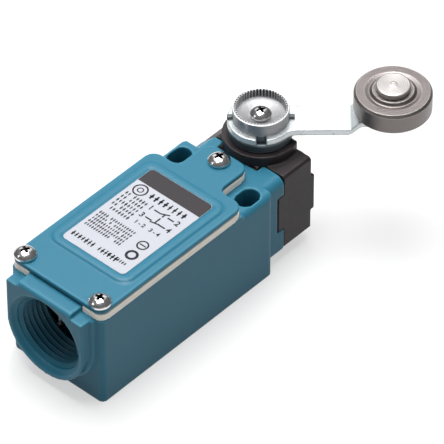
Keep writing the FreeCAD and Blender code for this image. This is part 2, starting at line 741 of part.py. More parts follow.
def contact_block():
    body = box(-BLOCK_HALF, BLOCK_HALF, BLOCK_BACK, BLOCK_FRONT, FLOOR, BLOCK_TOP)
    gap_x = SLIDE_HALF_X + SLIDE_GAP
    gap_z = SLIDE_HALF_Z + SLIDE_GAP
    tools = [
        box(-gap_x, gap_x, BLOCK_BACK_WALL, BLOCK_FRONT_WALL, AXIS_Z - gap_z, BLOCK_TOP + 1),
        cyl_y(BUTTON_R + RUNNING, BLOCK_FRONT_WALL - 1, BLOCK_FRONT + 1),
        box(-POCKET_HALF, POCKET_HALF, NC_STOP - BRIDGE_T - TRAVEL - 1, NC_PLATE + FIXED_T,
            POCKET_LOW, BLOCK_TOP + 1),
        box(-POCKET_HALF, POCKET_HALF, NO_PLATE, NO_STOP + BRIDGE_T + 1, POCKET_LOW, BLOCK_TOP + 1),
    ]
    for side in sides():
        x = side * BLOCK_SCREW_X
        tools.append(cyl(M25[2] + CLEAR, FLOOR - 1, BLOCK_TOP + 1, x, BLOCK_SCREW_Y))
        tools.append(cyl(BLOCK_POST_R + POST_GAP, FLOOR - 1, BLOCK_POST_TOP, x, BLOCK_SCREW_Y))
        x = side * (FIXED_IN + FIXED_OUT) / 2
        for plate, way in pairs().values():
            low = BLOCK_TOP - TERMINAL_HOLE
            tools.append(cyl(M35[2] + CLEAR, low, BLOCK_TOP + 1, x, terminal_y(plate, way)))
    for tool in tools:
        body = body.cut(tool)
    return body.removeSplitter()


def block_lid():
    return box(-LID_HALF, LID_HALF, BLOCK_BACK + 0.5, BLOCK_FRONT - 0.5, BLOCK_TOP, BLOCK_TOP + LID_T)


def block_screws():
    places = [V(side * BLOCK_SCREW_X, BLOCK_SCREW_Y, BLOCK_TOP) for side in sides()]
    return [screw(M25, place, BLOCK_SCREW_LENGTH, UP) for place in places]


def fixed_contacts(name):
    plate, way = pairs()[name]
    tip_low = plate - TIP_T if way > 0 else plate + FIXED_T
    shapes = []
    for side in sides():
        near, far = sorted((side * FIXED_IN, side * FIXED_OUT))
        upright = box(near, far, plate, plate + FIXED_T, FIXED_LOW, BLOCK_TOP + FIXED_T)
        low, high = sorted((plate + FIXED_T / 2, plate + FIXED_T / 2 + way * FLANGE_LENGTH))
        flange = box(near, far, low, high, BLOCK_TOP, BLOCK_TOP + FIXED_T)
        tip = cyl_y(TIP_R, tip_low, tip_low + TIP_T, side * TIP_X)
        body = fuse([upright, flange, tip])
        x = (near + far) / 2
        hole = cyl(M35[2], BLOCK_TOP - 1, BLOCK_TOP + 2, x, terminal_y(plate, way))
        shapes.append(body.cut(hole))
    return shapes


def terminals(make):
    """One shape at each of the four terminals."""
    shapes = []
    for plate, way in pairs().values():
        for side in sides():
            shapes.append(make(side * (FIXED_IN + FIXED_OUT) / 2, terminal_y(plate, way)))
    return shapes


def terminal_clamps():
    low = BLOCK_TOP + FIXED_T
    half = CLAMP_W / 2

    def clamp(x, y):
        plate = box(x - half, x + half, y - half, y + half, low, low + CLAMP_T)
        return plate.cut(cyl(M35[2], low - 1, low + 2, x, y))
    return terminals(clamp)


def terminal_screws():
    seat = BLOCK_TOP + FIXED_T + CLAMP_T
    return terminals(lambda x, y: screw(M35, V(x, y, seat), TERMINAL_SCREW_LENGTH, UP))


def contact_plunger():
    body = box(-SLIDE_HALF_X, SLIDE_HALF_X, SLIDE_BACK, SLIDE_FRONT,
               AXIS_Z - SLIDE_HALF_Z, AXIS_Z + SLIDE_HALF_Z)
    body = fuse([body, cyl_y(BUTTON_R, SLIDE_FRONT - 1, PLUNGER_FACE)])
    low, high = AXIS_Z - WINDOW_HALF_Z, AXIS_Z + WINDOW_HALF_Z
    body = body.cut(box(-5, 5, WEB_FRONT, NC_STOP, low, high))
    return body.cut(box(-5, 5, NO_STOP, WEB_BACK, low, high))


def bridge(strip_low, tip_low):
    body = box(-BRIDGE_HALF_X, BRIDGE_HALF_X, strip_low, strip_low + BRIDGE_T,
               AXIS_Z - BRIDGE_HALF_Z, AXIS_Z + BRIDGE_HALF_Z)
    tips = [cyl_y(TIP_R, tip_low, tip_low + TIP_T, s * TIP_X) for s in sides()]
    return fuse([body] + tips)


def nc_bridge():
    return bridge(NC_STOP - BRIDGE_T, NC_STOP)


def no_bridge():
    return bridge(NO_STOP, NO_STOP - TIP_T)


def nc_contact_spring():
    return coil(WEB_FRONT, NC_STOP - BRIDGE_T, CONTACT_COIL_R, CONTACT_WIRE_R, NC_TURNS)


def no_contact_spring():
    return coil(NO_STOP + BRIDGE_T, WEB_BACK, CONTACT_COIL_R, CONTACT_WIRE_R, NO_TURNS)


def plunger_spring():
    return coil(BLOCK_BACK_WALL, SLIDE_BACK, PLUNGER_COIL_R, PLUNGER_WIRE_R, PLUNGER_TURNS)


def earth_clamp():
    low = FLOOR + EARTH_POST_H
    plate = cyl(EARTH_POST_R, low, low + EARTH_CLAMP_T, EARTH_X, EARTH_Y)
    return plate.cut(cyl(M25[2], low - 1, low + 2, EARTH_X, EARTH_Y))


def earth_screw():
    seat = FLOOR + EARTH_POST_H + EARTH_CLAMP_T
    return screw(M25, V(EARTH_X, EARTH_Y, seat), EARTH_SCREW_LENGTH, UP)


NODES = {
    "housing": housing,
    "cover": cover,
    "cover_gasket": cover_gasket,
    "cover_screws": cover_screws,
    "rating_label": rating_label,
    "head_housing": head_housing,
    "head_gasket": head_gasket,
    "head_screws": head_screws,
    "shaft_bush": shaft_bush,
    "shaft_seal": shaft_seal,
    "shaft": shaft,
    "tappet": tappet,
    "tappet_spring": tappet_spring,
    "drive_disc": drive_disc,
    "lever_arm": lever_arm,
    "lever_hub": lever_hub,
    "hub_screw": hub_screw,
    "roller_pin": roller_pin,
    "roller_washer": roller_washer,
    "roller": roller,
    "contact_block": contact_block,
    "block_lid": block_lid,
    "block_screws": block_screws,
    "nc_fixed_contacts": lambda: fixed_contacts("nc"),
    "no_fixed_contacts": lambda: fixed_contacts("no"),
    "terminal_clamps": terminal_clamps,
    "terminal_screws": terminal_screws,
    "contact_plunger": contact_plunger,
    "nc_bridge": nc_bridge,
    "no_bridge": no_bridge,
    "nc_contact_spring": nc_contact_spring,
    "no_contact_spring": no_contact_spring,
    "plunger_spring": plunger_spring,
    "earth_clamp": earth_clamp,
    "earth_screw": earth_screw,
}

os.makedirs("parts", exist_ok=True)
for name, build in NODES.items():
    made = build()
    shape = Part.makeCompound(made) if isinstance(made, list) else made
    shape.exportStep(f"parts/{name}.step")
    count = len(shape.Solids)
    print(f"{name}: {count} solid(s), {shape.Volume:.1f} mm3, valid {shape.isValid()}")
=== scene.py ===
# %% [markdown]
# # A limit switch with a roller lever
# A limit switch tells a machine that something has arrived. A cam or a carriage pushes the roller, the lever turns
# the shaft, and contacts inside the painted casting change over. The construction is loaded as a fixed frame, and
# each cell below dresses one piece of it: first its shape, then its finish.

# %% Load the frame
import json
import math
import bmesh
import bpy
from mathutils import Euler, Matrix, Vector


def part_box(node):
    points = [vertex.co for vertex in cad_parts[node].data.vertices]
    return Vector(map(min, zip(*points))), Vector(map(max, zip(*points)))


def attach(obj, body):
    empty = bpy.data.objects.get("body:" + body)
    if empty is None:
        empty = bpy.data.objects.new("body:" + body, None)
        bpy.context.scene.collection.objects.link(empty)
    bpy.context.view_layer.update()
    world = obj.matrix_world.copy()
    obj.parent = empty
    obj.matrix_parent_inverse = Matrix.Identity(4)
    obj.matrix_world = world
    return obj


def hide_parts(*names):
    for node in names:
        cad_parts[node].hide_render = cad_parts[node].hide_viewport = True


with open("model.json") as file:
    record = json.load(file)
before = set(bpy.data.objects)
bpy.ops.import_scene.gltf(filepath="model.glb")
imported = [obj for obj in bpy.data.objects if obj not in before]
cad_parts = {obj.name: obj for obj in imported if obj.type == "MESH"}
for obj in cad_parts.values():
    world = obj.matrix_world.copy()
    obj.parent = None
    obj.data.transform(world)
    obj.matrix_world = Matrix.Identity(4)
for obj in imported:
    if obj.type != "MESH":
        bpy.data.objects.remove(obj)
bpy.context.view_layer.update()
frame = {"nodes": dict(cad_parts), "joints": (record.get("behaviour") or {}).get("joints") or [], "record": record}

record = frame["record"]
nodes = frame["nodes"]

# %% [markdown]
# ## Places
# Every place is read from the frame, so nothing is fitted by eye. The lever turns about the shaft, and the roller
# about its pin. The line from one to the other gives the direction in which the lever lies.

# %% Axes of the joints and the conduit
MM = 0.001
joints = {joint["name"]: joint for joint in frame["joints"]}
mounts = {mount["name"]: mount for mount in record["mounts"]}
shaft_at = Vector(joints["lever_turn"]["pos_m"])
roller_at = Vector(joints["roller_spin"]["pos_m"])
conduit_at = Vector(mounts["conduit_entry"]["pos_m"])
lever_turn = math.atan2(roller_at.y - shaft_at.y, roller_at.x - shaft_at.x)
print("lever direction in degrees:", round(math.degrees(lever_turn), 1))

# %% [markdown]
# ## Small helpers
# Nodes are added often, in shader trees and in geometry trees. One helper makes a node, sets its options and fills
# its inputs. An input that is given another node's output is linked to it. Others open a node group, and open and
# close a geometry tree, because all of those end alike: instances become one real mesh, and it gets its material.

# %% Helpers for node trees
NUMBER, VECTOR, COLOR, WHOLE, SHAPE = (
    "NodeSocket" + kind for kind in ("Float", "Vector", "Color", "Int", "Geometry"))


def fill(tree, node, inputs):
    for key, value in inputs.items():
        if isinstance(value, bpy.types.NodeSocket):
            tree.links.new(value, node.inputs[key])
        else:
            node.inputs[key].default_value = value
    return node


def add(tree, kind, inputs=None, **options):
    node = tree.nodes.new(kind)
    for key, value in options.items():
        setattr(node, key, value)
    return fill(tree, node, inputs or {})


def calc(tree, operation, *values):
    """Output of a math node that is given numbers or other outputs."""
    return add(tree, "ShaderNodeMath", dict(enumerate(values)), operation=operation).outputs[0]


def new_group(name, kind, inputs, outputs):
    """A node group with named sockets, each given as (name, type, default value)."""
    tree = bpy.data.node_groups.new(name, kind)
    for label, socket, default in inputs:
        made = tree.interface.new_socket(label, in_out="INPUT", socket_type=socket)
        if default is not None:
            made.default_value = default
    for label, socket in outputs:
        tree.interface.new_socket(label, in_out="OUTPUT", socket_type=socket)
    return tree, add(tree, "NodeGroupInput").outputs


def shape_group(name, inputs):
    """A geometry tree that takes geometry first, then its own inputs, and a material last."""
    return new_group(name, "GeometryNodeTree", [
        ("Geometry", SHAPE, None), *inputs, ("Material", "NodeSocketMaterial", None)], [("Geometry", SHAPE)])


def close_shape(tree, given, geometry):
    whole = add(tree, "GeometryNodeRealizeInstances", {"Geometry": geometry})
    coat = add(tree, "GeometryNodeSetMaterial", {
        "Geometry": whole.outputs["Geometry"], "Material": given["Material"]})
    add(tree, "NodeGroupOutput", {"Geometry": coat.outputs["Geometry"]})
    return tree

# %% [markdown]
# ## Finishes that several materials share
# Three effects return all over the switch. Grain is the fine unevenness of a cast or moulded skin. Rings are the
# marks that a lathe leaves. The edge tint is a painted highlight along rounded edges, where they would catch the
# lamp, and on the paint it is also paint rubbed thin. On the screws it is dark, as painted shade in the cross
# recess, and on the lever it makes the edges darker. Each is a group with its own sockets, so every material sets
# its own scale and strength.

# %% Grain of a cast or moulded skin
def grain_group():
    tree, given = new_group(
        "skin_grain", "ShaderNodeTree",
        [("Vector", VECTOR, None), ("Scale", NUMBER, 800.0), ("Depth", NUMBER, 0.1), ("Patches", NUMBER, 60.0)],
        [("Normal", VECTOR), ("Fine", NUMBER), ("Patch", NUMBER)])
    fine = add(tree, "ShaderNodeTexNoise", {
        "Vector": given["Vector"], "Scale": given["Scale"], "Detail": 4.0, "Roughness": 0.6})
    patch = add(tree, "ShaderNodeTexNoise", {
        "Vector": given["Vector"], "Scale": given["Patches"], "Detail": 3.0})
    bump = add(tree, "ShaderNodeBump", {
        "Strength": given["Depth"], "Distance": 0.0002, "Height": fine.outputs["Fac"]})
    add(tree, "NodeGroupOutput", {
        "Normal": bump.outputs["Normal"], "Fine": fine.outputs["Fac"], "Patch": patch.outputs["Fac"]})
    return tree


grain = grain_group()
print("made group", grain.name)

# %% Rings left by a lathe
def rings_group():
    tree, given = new_group(
        "turned_rings", "ShaderNodeTree",
        [("Vector", VECTOR, None), ("Rings", NUMBER, 1500.0), ("Depth", NUMBER, 0.1)],
        [("Normal", VECTOR), ("Ring", NUMBER)])
    wave = add(tree, "ShaderNodeTexWave", {
        "Vector": given["Vector"], "Scale": given["Rings"], "Distortion": 1.2, "Detail": 3.0,
        "Detail Scale": 2.0}, wave_type="RINGS", rings_direction="Z")
    bump = add(tree, "ShaderNodeBump", {
        "Strength": given["Depth"], "Distance": 0.0001, "Height": wave.outputs["Fac"]})
    add(tree, "NodeGroupOutput", {"Normal": bump.outputs["Normal"], "Ring": wave.outputs["Fac"]})
    return tree


rings = rings_group()
print("made group", rings.name)

# %% Painted highlight and shade along the edges, with paint rubbed thin
def painted_edge_light_group():
    tree, given = new_group(
        "edge_wear_and_painted_light", "ShaderNodeTree",
        [("Color", COLOR, (0.5, 0.5, 0.5, 1)), ("Light", COLOR, (0.8, 0.8, 0.8, 1)),
         ("Break", NUMBER, 0.5), ("Amount", NUMBER, 0.5)],
        [("Color", COLOR), ("Edge", NUMBER)])
    # Where the edge mask is 1, the colour turns to the painted edge tone: painted light or shade along edges and in
    # recesses.
    edge = add(tree, "ShaderNodeAttribute", attribute_name="edge")
    share = add(tree, "ShaderNodeMapRange", {
        "Value": given["Break"], "From Min": 0.3, "From Max": 0.7, "To Min": 0.8, "To Max": 1.0})
    broken = calc(tree, "MULTIPLY", edge.outputs["Fac"], share.outputs["Result"])
    amount = calc(tree, "MULTIPLY", broken, given["Amount"])
    mix = add(tree, "ShaderNodeMix", {"Factor": amount, "A": given["Color"], "B": given["Light"]}, data_type="RGBA")
    add(tree, "NodeGroupOutput", {"Color": mix.outputs["Result"], "Edge": amount})
    return tree


edge_wear_and_painted_light = painted_edge_light_group()
print("made group", edge_wear_and_painted_light.name)

# %% [markdown]
# ## A material in one call
# Most finishes here differ only in colour, gloss and in how much of each shared effect they show. So one function
# builds them. Values that are the same all over stay on the shader's own sockets, and only what changes over the
# surface is linked.

# %% Build one finish
GLOSS_SPREAD = 0.1


def finish(name, color, rough, metallic=0.0, scale=900.0, depth=0.1, spread=0.12,
           edge=None, turned=None, specular=0.5):
    """Scale and depth are the grain's. Edge is (colour, amount) of the tint along edges and recesses, which stands
    in for light and shade there. Turned is (rings, depth, centre) of lathe marks.
    """
    material = bpy.data.materials.new(name)
    material.use_nodes = True
    tree = material.node_tree
    place = add(tree, "ShaderNodeTexCoord")
    skin = add(tree, "ShaderNodeGroup", {
        "Vector": place.outputs["Object"], "Scale": scale, "Depth": depth}, node_tree=grain)
    dark = [value * (1 - spread) for value in color] + [1]
    light = [min(1, value * (1 + spread)) for value in color] + [1]
    tone = add(tree, "ShaderNodeMix", {"Factor": skin.outputs["Patch"], "A": dark, "B": light}, data_type="RGBA")
    result = tone.outputs["Result"]
    if edge:
        lit = add(tree, "ShaderNodeGroup", {
            "Color": result, "Break": skin.outputs["Patch"], "Light": (*edge[0], 1), "Amount": edge[1]},
            node_tree=edge_wear_and_painted_light)
        result = lit.outputs["Color"]
    normal = skin.outputs["Normal"]
    if turned:
        count, cut, middle = turned
        centre = add(tree, "ShaderNodeMapping", {"Vector": place.outputs["Object"], "Location": -middle})
        lathe_marks = add(tree, "ShaderNodeGroup", {
            "Vector": centre.outputs["Vector"], "Rings": count, "Depth": cut}, node_tree=rings)
        normal = lathe_marks.outputs["Normal"]
        faint = add(tree, "ShaderNodeMapRange", {
            "Value": lathe_marks.outputs["Ring"], "To Min": 0.82, "To Max": 1.0})
        shade = add(tree, "ShaderNodeMix", {"Factor": 1.0, "A": result, "B": faint.outputs["Result"]},
                    data_type="RGBA", blend_type="MULTIPLY")
        result = shade.outputs["Result"]
    uneven = add(tree, "ShaderNodeMapRange", {
        "Value": skin.outputs["Fine"], "From Min": 0.3, "From Max": 0.7,
        "To Min": rough - GLOSS_SPREAD / 2, "To Max": rough + GLOSS_SPREAD / 2})
    fill(tree, tree.nodes["Principled BSDF"], {
        "Base Color": result, "Roughness": uneven.outputs["Result"], "Normal": normal,
        "Metallic": metallic, "Specular IOR Level": specular})
    return material

# %% [markdown]
# ## The finishes
# The body and cover are zinc castings under a teal stoved paint. The head is coated brownish black. The lever and
# screws are bright plated steel, and the roller is a sintered steel ring, which is why it looks porous and warm.
# Four more finishes are for details without a node of their own: the hub's teeth and pegs, and the label's inks.
# The teeth's finish paints shade in the roots between the teeth and a highlight on their tips.

# %% Make the finishes
ROLLER_CENTRE = Vector((roller_at.x, roller_at.y, 0))
HUB_CENTRE = Vector((shaft_at.x, shaft_at.y, 0))
TEAL = (0.015, 0.119, 0.184)
# Lighter teal along the paint's edges: a painted highlight where rounded edges catch the lamp, and paint rubbed
# thin.
TEAL_WORN_EDGE_HIGHLIGHT = (0.05, 0.22, 0.31)
looks = {
    "body_paint": finish("teal_paint", TEAL, 0.42, scale=1400, depth=0.12,
                         spread=0.06, edge=(TEAL_WORN_EDGE_HIGHLIGHT, 0.6), specular=0.26),
    "gasket_cream": finish("cream_gasket", (0.90, 0.85, 0.77), 0.8, scale=3000, depth=0.3,
                           spread=0.05, specular=0.2),
    # The near-black edge tone here is painted shade on the faces of the cross recess.
    "bright_screw": finish("bright_nickel", (0.72, 0.72, 0.72), 0.2, 1.0, scale=1500, depth=0.03,
                           edge=((0.035, 0.035, 0.032), 1.0)),
    "label_foil": finish("silver_foil", (0.345, 0.355, 0.392), 0.5, 0.0, scale=4000, depth=0.05,
                         spread=0.03, specular=0.3),
    # Lighter edges on the head: painted highlight.
    "head_black": finish("brown_black_coat", (0.015, 0.0105, 0.0125), 0.45, scale=2200, depth=0.4,
                         spread=0.3, edge=((0.035, 0.028, 0.030), 0.4), specular=0.28),
    "seal_rubber": finish("black_rubber", (0.012, 0.012, 0.012), 0.7, depth=0.2),
    "bush_bronze": finish("oiled_bronze", (0.42, 0.24, 0.09), 0.4, 1.0, depth=0.2),
    "shaft_steel": finish("ground_steel", (0.52, 0.52, 0.53), 0.28, 1.0),
    "spring_steel": finish("spring_wire", (0.42, 0.42, 0.44), 0.3, 1.0),
    # Lighter edges on the disc: painted highlight on its rim.
    "disc_dark": finish("dark_phosphate", (0.030, 0.045, 0.055), 0.45, 0.3, scale=1800,
                        edge=((0.25, 0.30, 0.32), 0.6)),
    # The lever is darker along its edges.
    "lever_zinc": finish("bright_zinc", (0.66, 0.70, 0.71), 0.3, 0.55, scale=700, depth=0.06,
                         spread=0.05, edge=((0.20, 0.23, 0.24), 0.7)),
    # Light edges on the hub: painted highlight on its rim and cup edges.
    "hub_zinc": finish("cast_zinc", (0.27, 0.27, 0.28), 0.42, 0.85, scale=1600, depth=0.3,
                       spread=0.2, edge=((0.80, 0.80, 0.81), 0.8)),
    "pin_steel": finish("turned_steel", (0.42, 0.40, 0.39), 0.4, 1.0, depth=0.05,
                        turned=(700.0, 0.25, ROLLER_CENTRE)),
    # Light edges on the roller: painted highlight, such as the thin light ring round its flat.
    "roller_sinter": finish("sintered_steel", (0.185, 0.165, 0.160), 0.33, 0.9, scale=2600,
                            depth=0.5, spread=0.25, edge=((0.50, 0.48, 0.47), 0.8)),
    "block_plastic": finish("black_moulding", (0.02, 0.02, 0.022), 0.5, depth=0.1),
    "contact_brass": finish("contact_brass", (0.62, 0.44, 0.16), 0.3, 1.0, depth=0.1),
    "terminal_plate": finish("terminal_nickel", (0.60, 0.58, 0.52), 0.3, 1.0, depth=0.1),
}
# Dark zinc with light tips: painted shade in the roots between the teeth, and a painted highlight on their tips.
teeth_shade_and_tip_highlight = finish("zinc_teeth_painted_shade_and_highlight", (0.035, 0.035, 0.04), 0.5, 0.5, spread=0.2, edge=((0.85, 0.85, 0.86), 1.0))
peg_steel = finish("peg_steel", (0.10, 0.115, 0.118), 0.45, 0.7)
label_ink = finish("label_ink", (0.012, 0.010, 0.014), 0.6, spread=0.1, specular=0.2)
band_ink = finish("band_ink", (0.028, 0.024, 0.027), 0.55, spread=0.08, specular=0.2)


def paint(piece, look):
    piece.data.materials.clear()
    piece.data.materials.append(look)


for row in record["subparts"]:
    paint(nodes[row["node"]], looks[row["material_slot"]])
slot_of = {row["node"]: row["material_slot"] for row in record["subparts"]}
body_of = {node: body for body, members in record["behaviour"]["bodies"].items() for node in members}
print(len(looks), "finishes on", len(slot_of), "nodes")

# %% [markdown]
# ## Putting a piece in its place
# A finished piece rides on the body of the CAD node that it stands for, hides that node, and takes the node's
# finish. One function does all of it, so that no piece is forgotten. The other helpers make objects and meshes, cut
# one with another, and turn modifiers into plain meshes.

# %% Hand a piece over to the frame
def dress(piece, node, look=None, hides=True):
    paint(piece, look or looks[slot_of[node]])
    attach(piece, body_of[node])
    if hides:
        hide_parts(node)
    print(f"{piece.name}: {len(piece.data.polygons)} faces on {body_of[node]}")

# %% Make, bake, cut and join objects
def add_object(name, data):
    piece = bpy.data.objects.new(name, data)
    bpy.context.scene.collection.objects.link(piece)
    return piece


def baked(piece):
    """Swaps a piece's modifiers for the plain mesh that they make."""
    bpy.context.view_layer.update()
    depsgraph = bpy.context.evaluated_depsgraph_get()
    mesh = bpy.data.meshes.new_from_object(piece.evaluated_get(depsgraph))
    piece.modifiers.clear()
    piece.data = mesh
    return piece


def drop(piece):
    bpy.data.objects.remove(piece)


def carve(piece, tool):
    """Cuts a tool's shape out of a piece and removes the tool."""
    cut = piece.modifiers.new("cut", "BOOLEAN")
    cut.object = tool
    cut.solver = "EXACT"
    baked(piece)
    drop(tool)


def mesh_from(name, shell):
    """Stores a working mesh and frees it."""
    mesh = bpy.data.meshes.new(name)
    shell.to_mesh(mesh)
    shell.free()
    return mesh


def join(name, meshes):
    """One mesh that holds all the given ones."""
    shell = bmesh.new()
    for mesh in meshes:
        shell.from_mesh(mesh)
    return mesh_from(name, shell)


def shell_between(floor_plan, roof_plan, low, high):
    """Closed working mesh between two outlines in mm, both anticlockwise, and its top face."""
    shell = bmesh.new()
    floor = [shell.verts.new((p.x * MM, p.y * MM, low * MM)) for p in floor_plan]
    roof = [shell.verts.new((p.x * MM, p.y * MM, high * MM)) for p in roof_plan]
    shell.faces.new(floor[::-1])
    top = shell.faces.new(roof)
    for k in range(len(floor)):
        n = (k + 1) % len(floor)
        shell.faces.new([floor[k], floor[n], roof[n], roof[k]])
    return shell, top


def place_mesh(mesh, at, turn=0.0, tilt=0.0):
    mesh.transform(Matrix.Translation(at) @ Euler((tilt, 0, turn)).to_matrix().to_4x4())
    return mesh


def grown(name, tree, values, points=(), edges=()):
    """Plain mesh object from a geometry tree, with its inputs set by their identifiers."""
    mesh = bpy.data.meshes.new(name)
    mesh.from_pydata([tuple(p) for p in points], list(edges), [])
    piece = add_object(name, mesh)
    modifier = piece.modifiers.new(tree.name, "NODES")
    modifier.node_group = tree
    sockets = {item.name: item.identifier for item in tree.interface.items_tree if item.in_out == "INPUT"}
    for label, value in values.items():
        modifier[sockets[label]] = value
    return baked(piece)

# %% [markdown]
# ## Castings
# A die casting has no sharp edge: metal can't fill one, and paint rounds it further. The CAD solid is sharp, so its
# copy is rebuilt from small cells, relaxed a few times, and mostly thinned again. Flat faces stay flat, and every
# edge and inner corner gets the same soft radius. A bevel could do this too, but it fails where holes meet edges.
#
# The relaxed mesh also tells where its edges are: a point lies further out than its neighbours there. That is
# kept as the attribute "edge", which the paint uses for its painted highlight along the edges.

# %% Find the edges of a relaxed mesh
def set_edge(mesh, values, domain="POINT"):
    mesh.attributes.new("edge", "FLOAT", domain).data.foreach_set("value", values)


def mark_edges(mesh, reach=0.12):
    """Attribute "edge": 0 on flat faces, 1 where a point stands out by that share of the spacing."""
    around = [[] for _ in mesh.vertices]
    for edge in mesh.edges:
        a, b = edge.vertices
        around[a].append(b)
        around[b].append(a)
    values = []
    for vertex in mesh.vertices:
        near = around[vertex.index]
        if not near:
            values.append(0.0)
            continue
        places = [mesh.vertices[i].co for i in near]
        gap = (vertex.co - sum(places, Vector()) / len(near)).dot(vertex.normal)
        spacing = sum((place - vertex.co).length for place in places) / len(near)
        values.append(max(0.0, min(1.0, gap / (spacing * reach))))
    for _ in range(2):
        values = [(v + sum(values[i] for i in near)) / (1 + len(near)) for v, near in zip(values, around)]
    set_edge(mesh, values)

# %% Soften a copy of a CAD solid
def plain_copy(name, node):
    """A merged copy of a CAD node's mesh, as one closed skin."""
    shell = bmesh.new()
    shell.from_mesh(nodes[node].data)
    bmesh.ops.remove_doubles(shell, verts=shell.verts, dist=1e-6)
    mesh = mesh_from(name, shell)
    for attribute in [a for a in mesh.attributes if a.name == "custom_normal"]:
        mesh.attributes.remove(attribute)
    return add_object(name, mesh)


def soften(piece, cell, rounds, keep=1.0):
    """Rebuilds a piece from cells in mm, relaxes it some rounds, and keeps a share of its triangles."""
    rebuild = piece.modifiers.new("rebuild", "REMESH")
    rebuild.mode = "VOXEL"
    rebuild.voxel_size = cell * MM
    relax = piece.modifiers.new("relax", "SMOOTH")
    relax.factor = 0.5
    relax.iterations = rounds
    baked(piece)
    mark_edges(piece.data)
    if keep < 1:
        thin = piece.modifiers.new("thin", "DECIMATE")
        thin.ratio = keep
        baked(piece)
    piece.data.shade_smooth()
    return piece

# %% [markdown]
# ## Lathe shapes
# Rollers, pins and discs are turned, so they are drawn as half a section and spun about their axis. Each corner of
# the section has its own radius, as a turner would break it. The attribute "edge" is made here too, from how sharply
# the section turns at each point.

# %% Round the corners of an outline
def rounded(corners, steps=5):
    """Points of an open or closed outline whose corners (x, y, radius) are rounded."""
    points = []
    for i, (x, y, radius) in enumerate(corners):
        here = Vector((x, y))
        before = Vector(corners[i - 1][:2])
        after = Vector(corners[(i + 1) % len(corners)][:2])
        if not radius:
            points.append(here)
            continue
        back, on = (before - here).normalized(), (after - here).normalized()
        half = back.angle(on) / 2
        centre = here + (back + on).normalized() * (radius / math.sin(half))
        start = here + back * (radius / math.tan(half)) - centre
        sweep = math.pi - 2 * half
        if start.x * on.y - start.y * on.x < 0:
            sweep = -sweep
        for k in range(steps + 1):
            turn = sweep * k / steps
            c, s = math.cos(turn), math.sin(turn)
            points.append(centre + Vector((c * start.x - s * start.y, s * start.x + c * start.y)))
    return points

# %% Spin a section about its axis
def with_guards(section, margin):
    """Adds a point near both ends of each long side, so that an edge's tint stays at the edge."""
    points = []
    for i, point in enumerate(section):
        here, on = Vector(point[:2]), Vector(section[(i + 1) % len(section)][:2])
        points.append(here)
        if (on - here).length > 3 * margin:
            step = (on - here).normalized() * margin
            points += [here + step, on - step]
    return points


def turned_mesh(name, section, steps=128, margin=0.12):
    """Closed turned body about Z from section points (radius, height), both in mm."""
    section = with_guards(section, margin)
    bend = []
    for i, here in enumerate(section):
        back, on = here - section[i - 1], section[(i + 1) % len(section)] - here
        turn = math.atan2(back.x * on.y - back.y * on.x, back.dot(on))
        bend.append(max(0.0, min(1.0, turn / math.radians(10))))
    if section[0].x < 1e-4:
        section = section[:-2]
    shell = bmesh.new()
    hoops = []
    spokes = [2 * math.pi * k / steps for k in range(steps)]
    for point in section:
        r, z = point[0] * MM, point[1] * MM
        if r < 1e-7:
            hoops.append([shell.verts.new((0, 0, z))])
            continue
        hoops.append([shell.verts.new((r * math.cos(a), r * math.sin(a), z)) for a in spokes])
    closed = section[0][0] > 1e-4
    values = [v for hoop, value in zip(hoops, bend) for v in [value if len(hoop) > 1 else 0.0] * len(hoop)]
    pairs = list(zip(hoops, hoops[1:])) + ([(hoops[-1], hoops[0])] if closed else [])
    for low, high in pairs:
        for k in range(steps):
            n = (k + 1) % steps
            ring = [low[k % len(low)], low[n % len(low)], high[n % len(high)], high[k % len(high)]]
            corners = list(dict.fromkeys(ring))
            if len(corners) > 2:
                shell.faces.new(corners)
    bmesh.ops.recalc_face_normals(shell, faces=shell.faces)
    mesh = mesh_from(name, shell)
    set_edge(mesh, values)
    mesh.shade_smooth()
    mesh.set_sharp_from_angle(angle=math.radians(40))
    return mesh


def turned_piece(name, section, at, turn=0.0, steps=128, margin=0.12):
    return add_object(name, place_mesh(turned_mesh(name, section, steps, margin), at, turn))

# %% [markdown]
# ## Body casting
# The thread in the conduit entry is a real helix on the real object. So the grooves of the CAD solid are bored
# away first, and the thread is added as a piece of its own.

# %% Body casting
BORE_R = 10.02
BORE_DEPTH = 10.3
ENTRY_LOW = -60.2
INTO_BODY = -math.pi / 2
body = plain_copy("body_casting", "housing")
bore = add_object("bore_tool", turned_mesh("bore_tool", [
    (0, 0), (BORE_R, 0), (BORE_R, BORE_DEPTH), (0, BORE_DEPTH)]))
place_mesh(bore.data, Vector((0, ENTRY_LOW * MM, conduit_at.z)), tilt=INTO_BODY)
carve(body, bore)
soften(body, cell=0.27, rounds=4, keep=0.42)
dress(body, "housing")

# %% [markdown]
# ## Conduit thread
# A thread is one profile that follows one path, which is what Geometry Nodes are good at. A spiral curve is the
# path, and a four-sided ring with one corner towards the axis is the profile. The outer half of it lies in the
# wall, and the inner half is the ridge that shows.

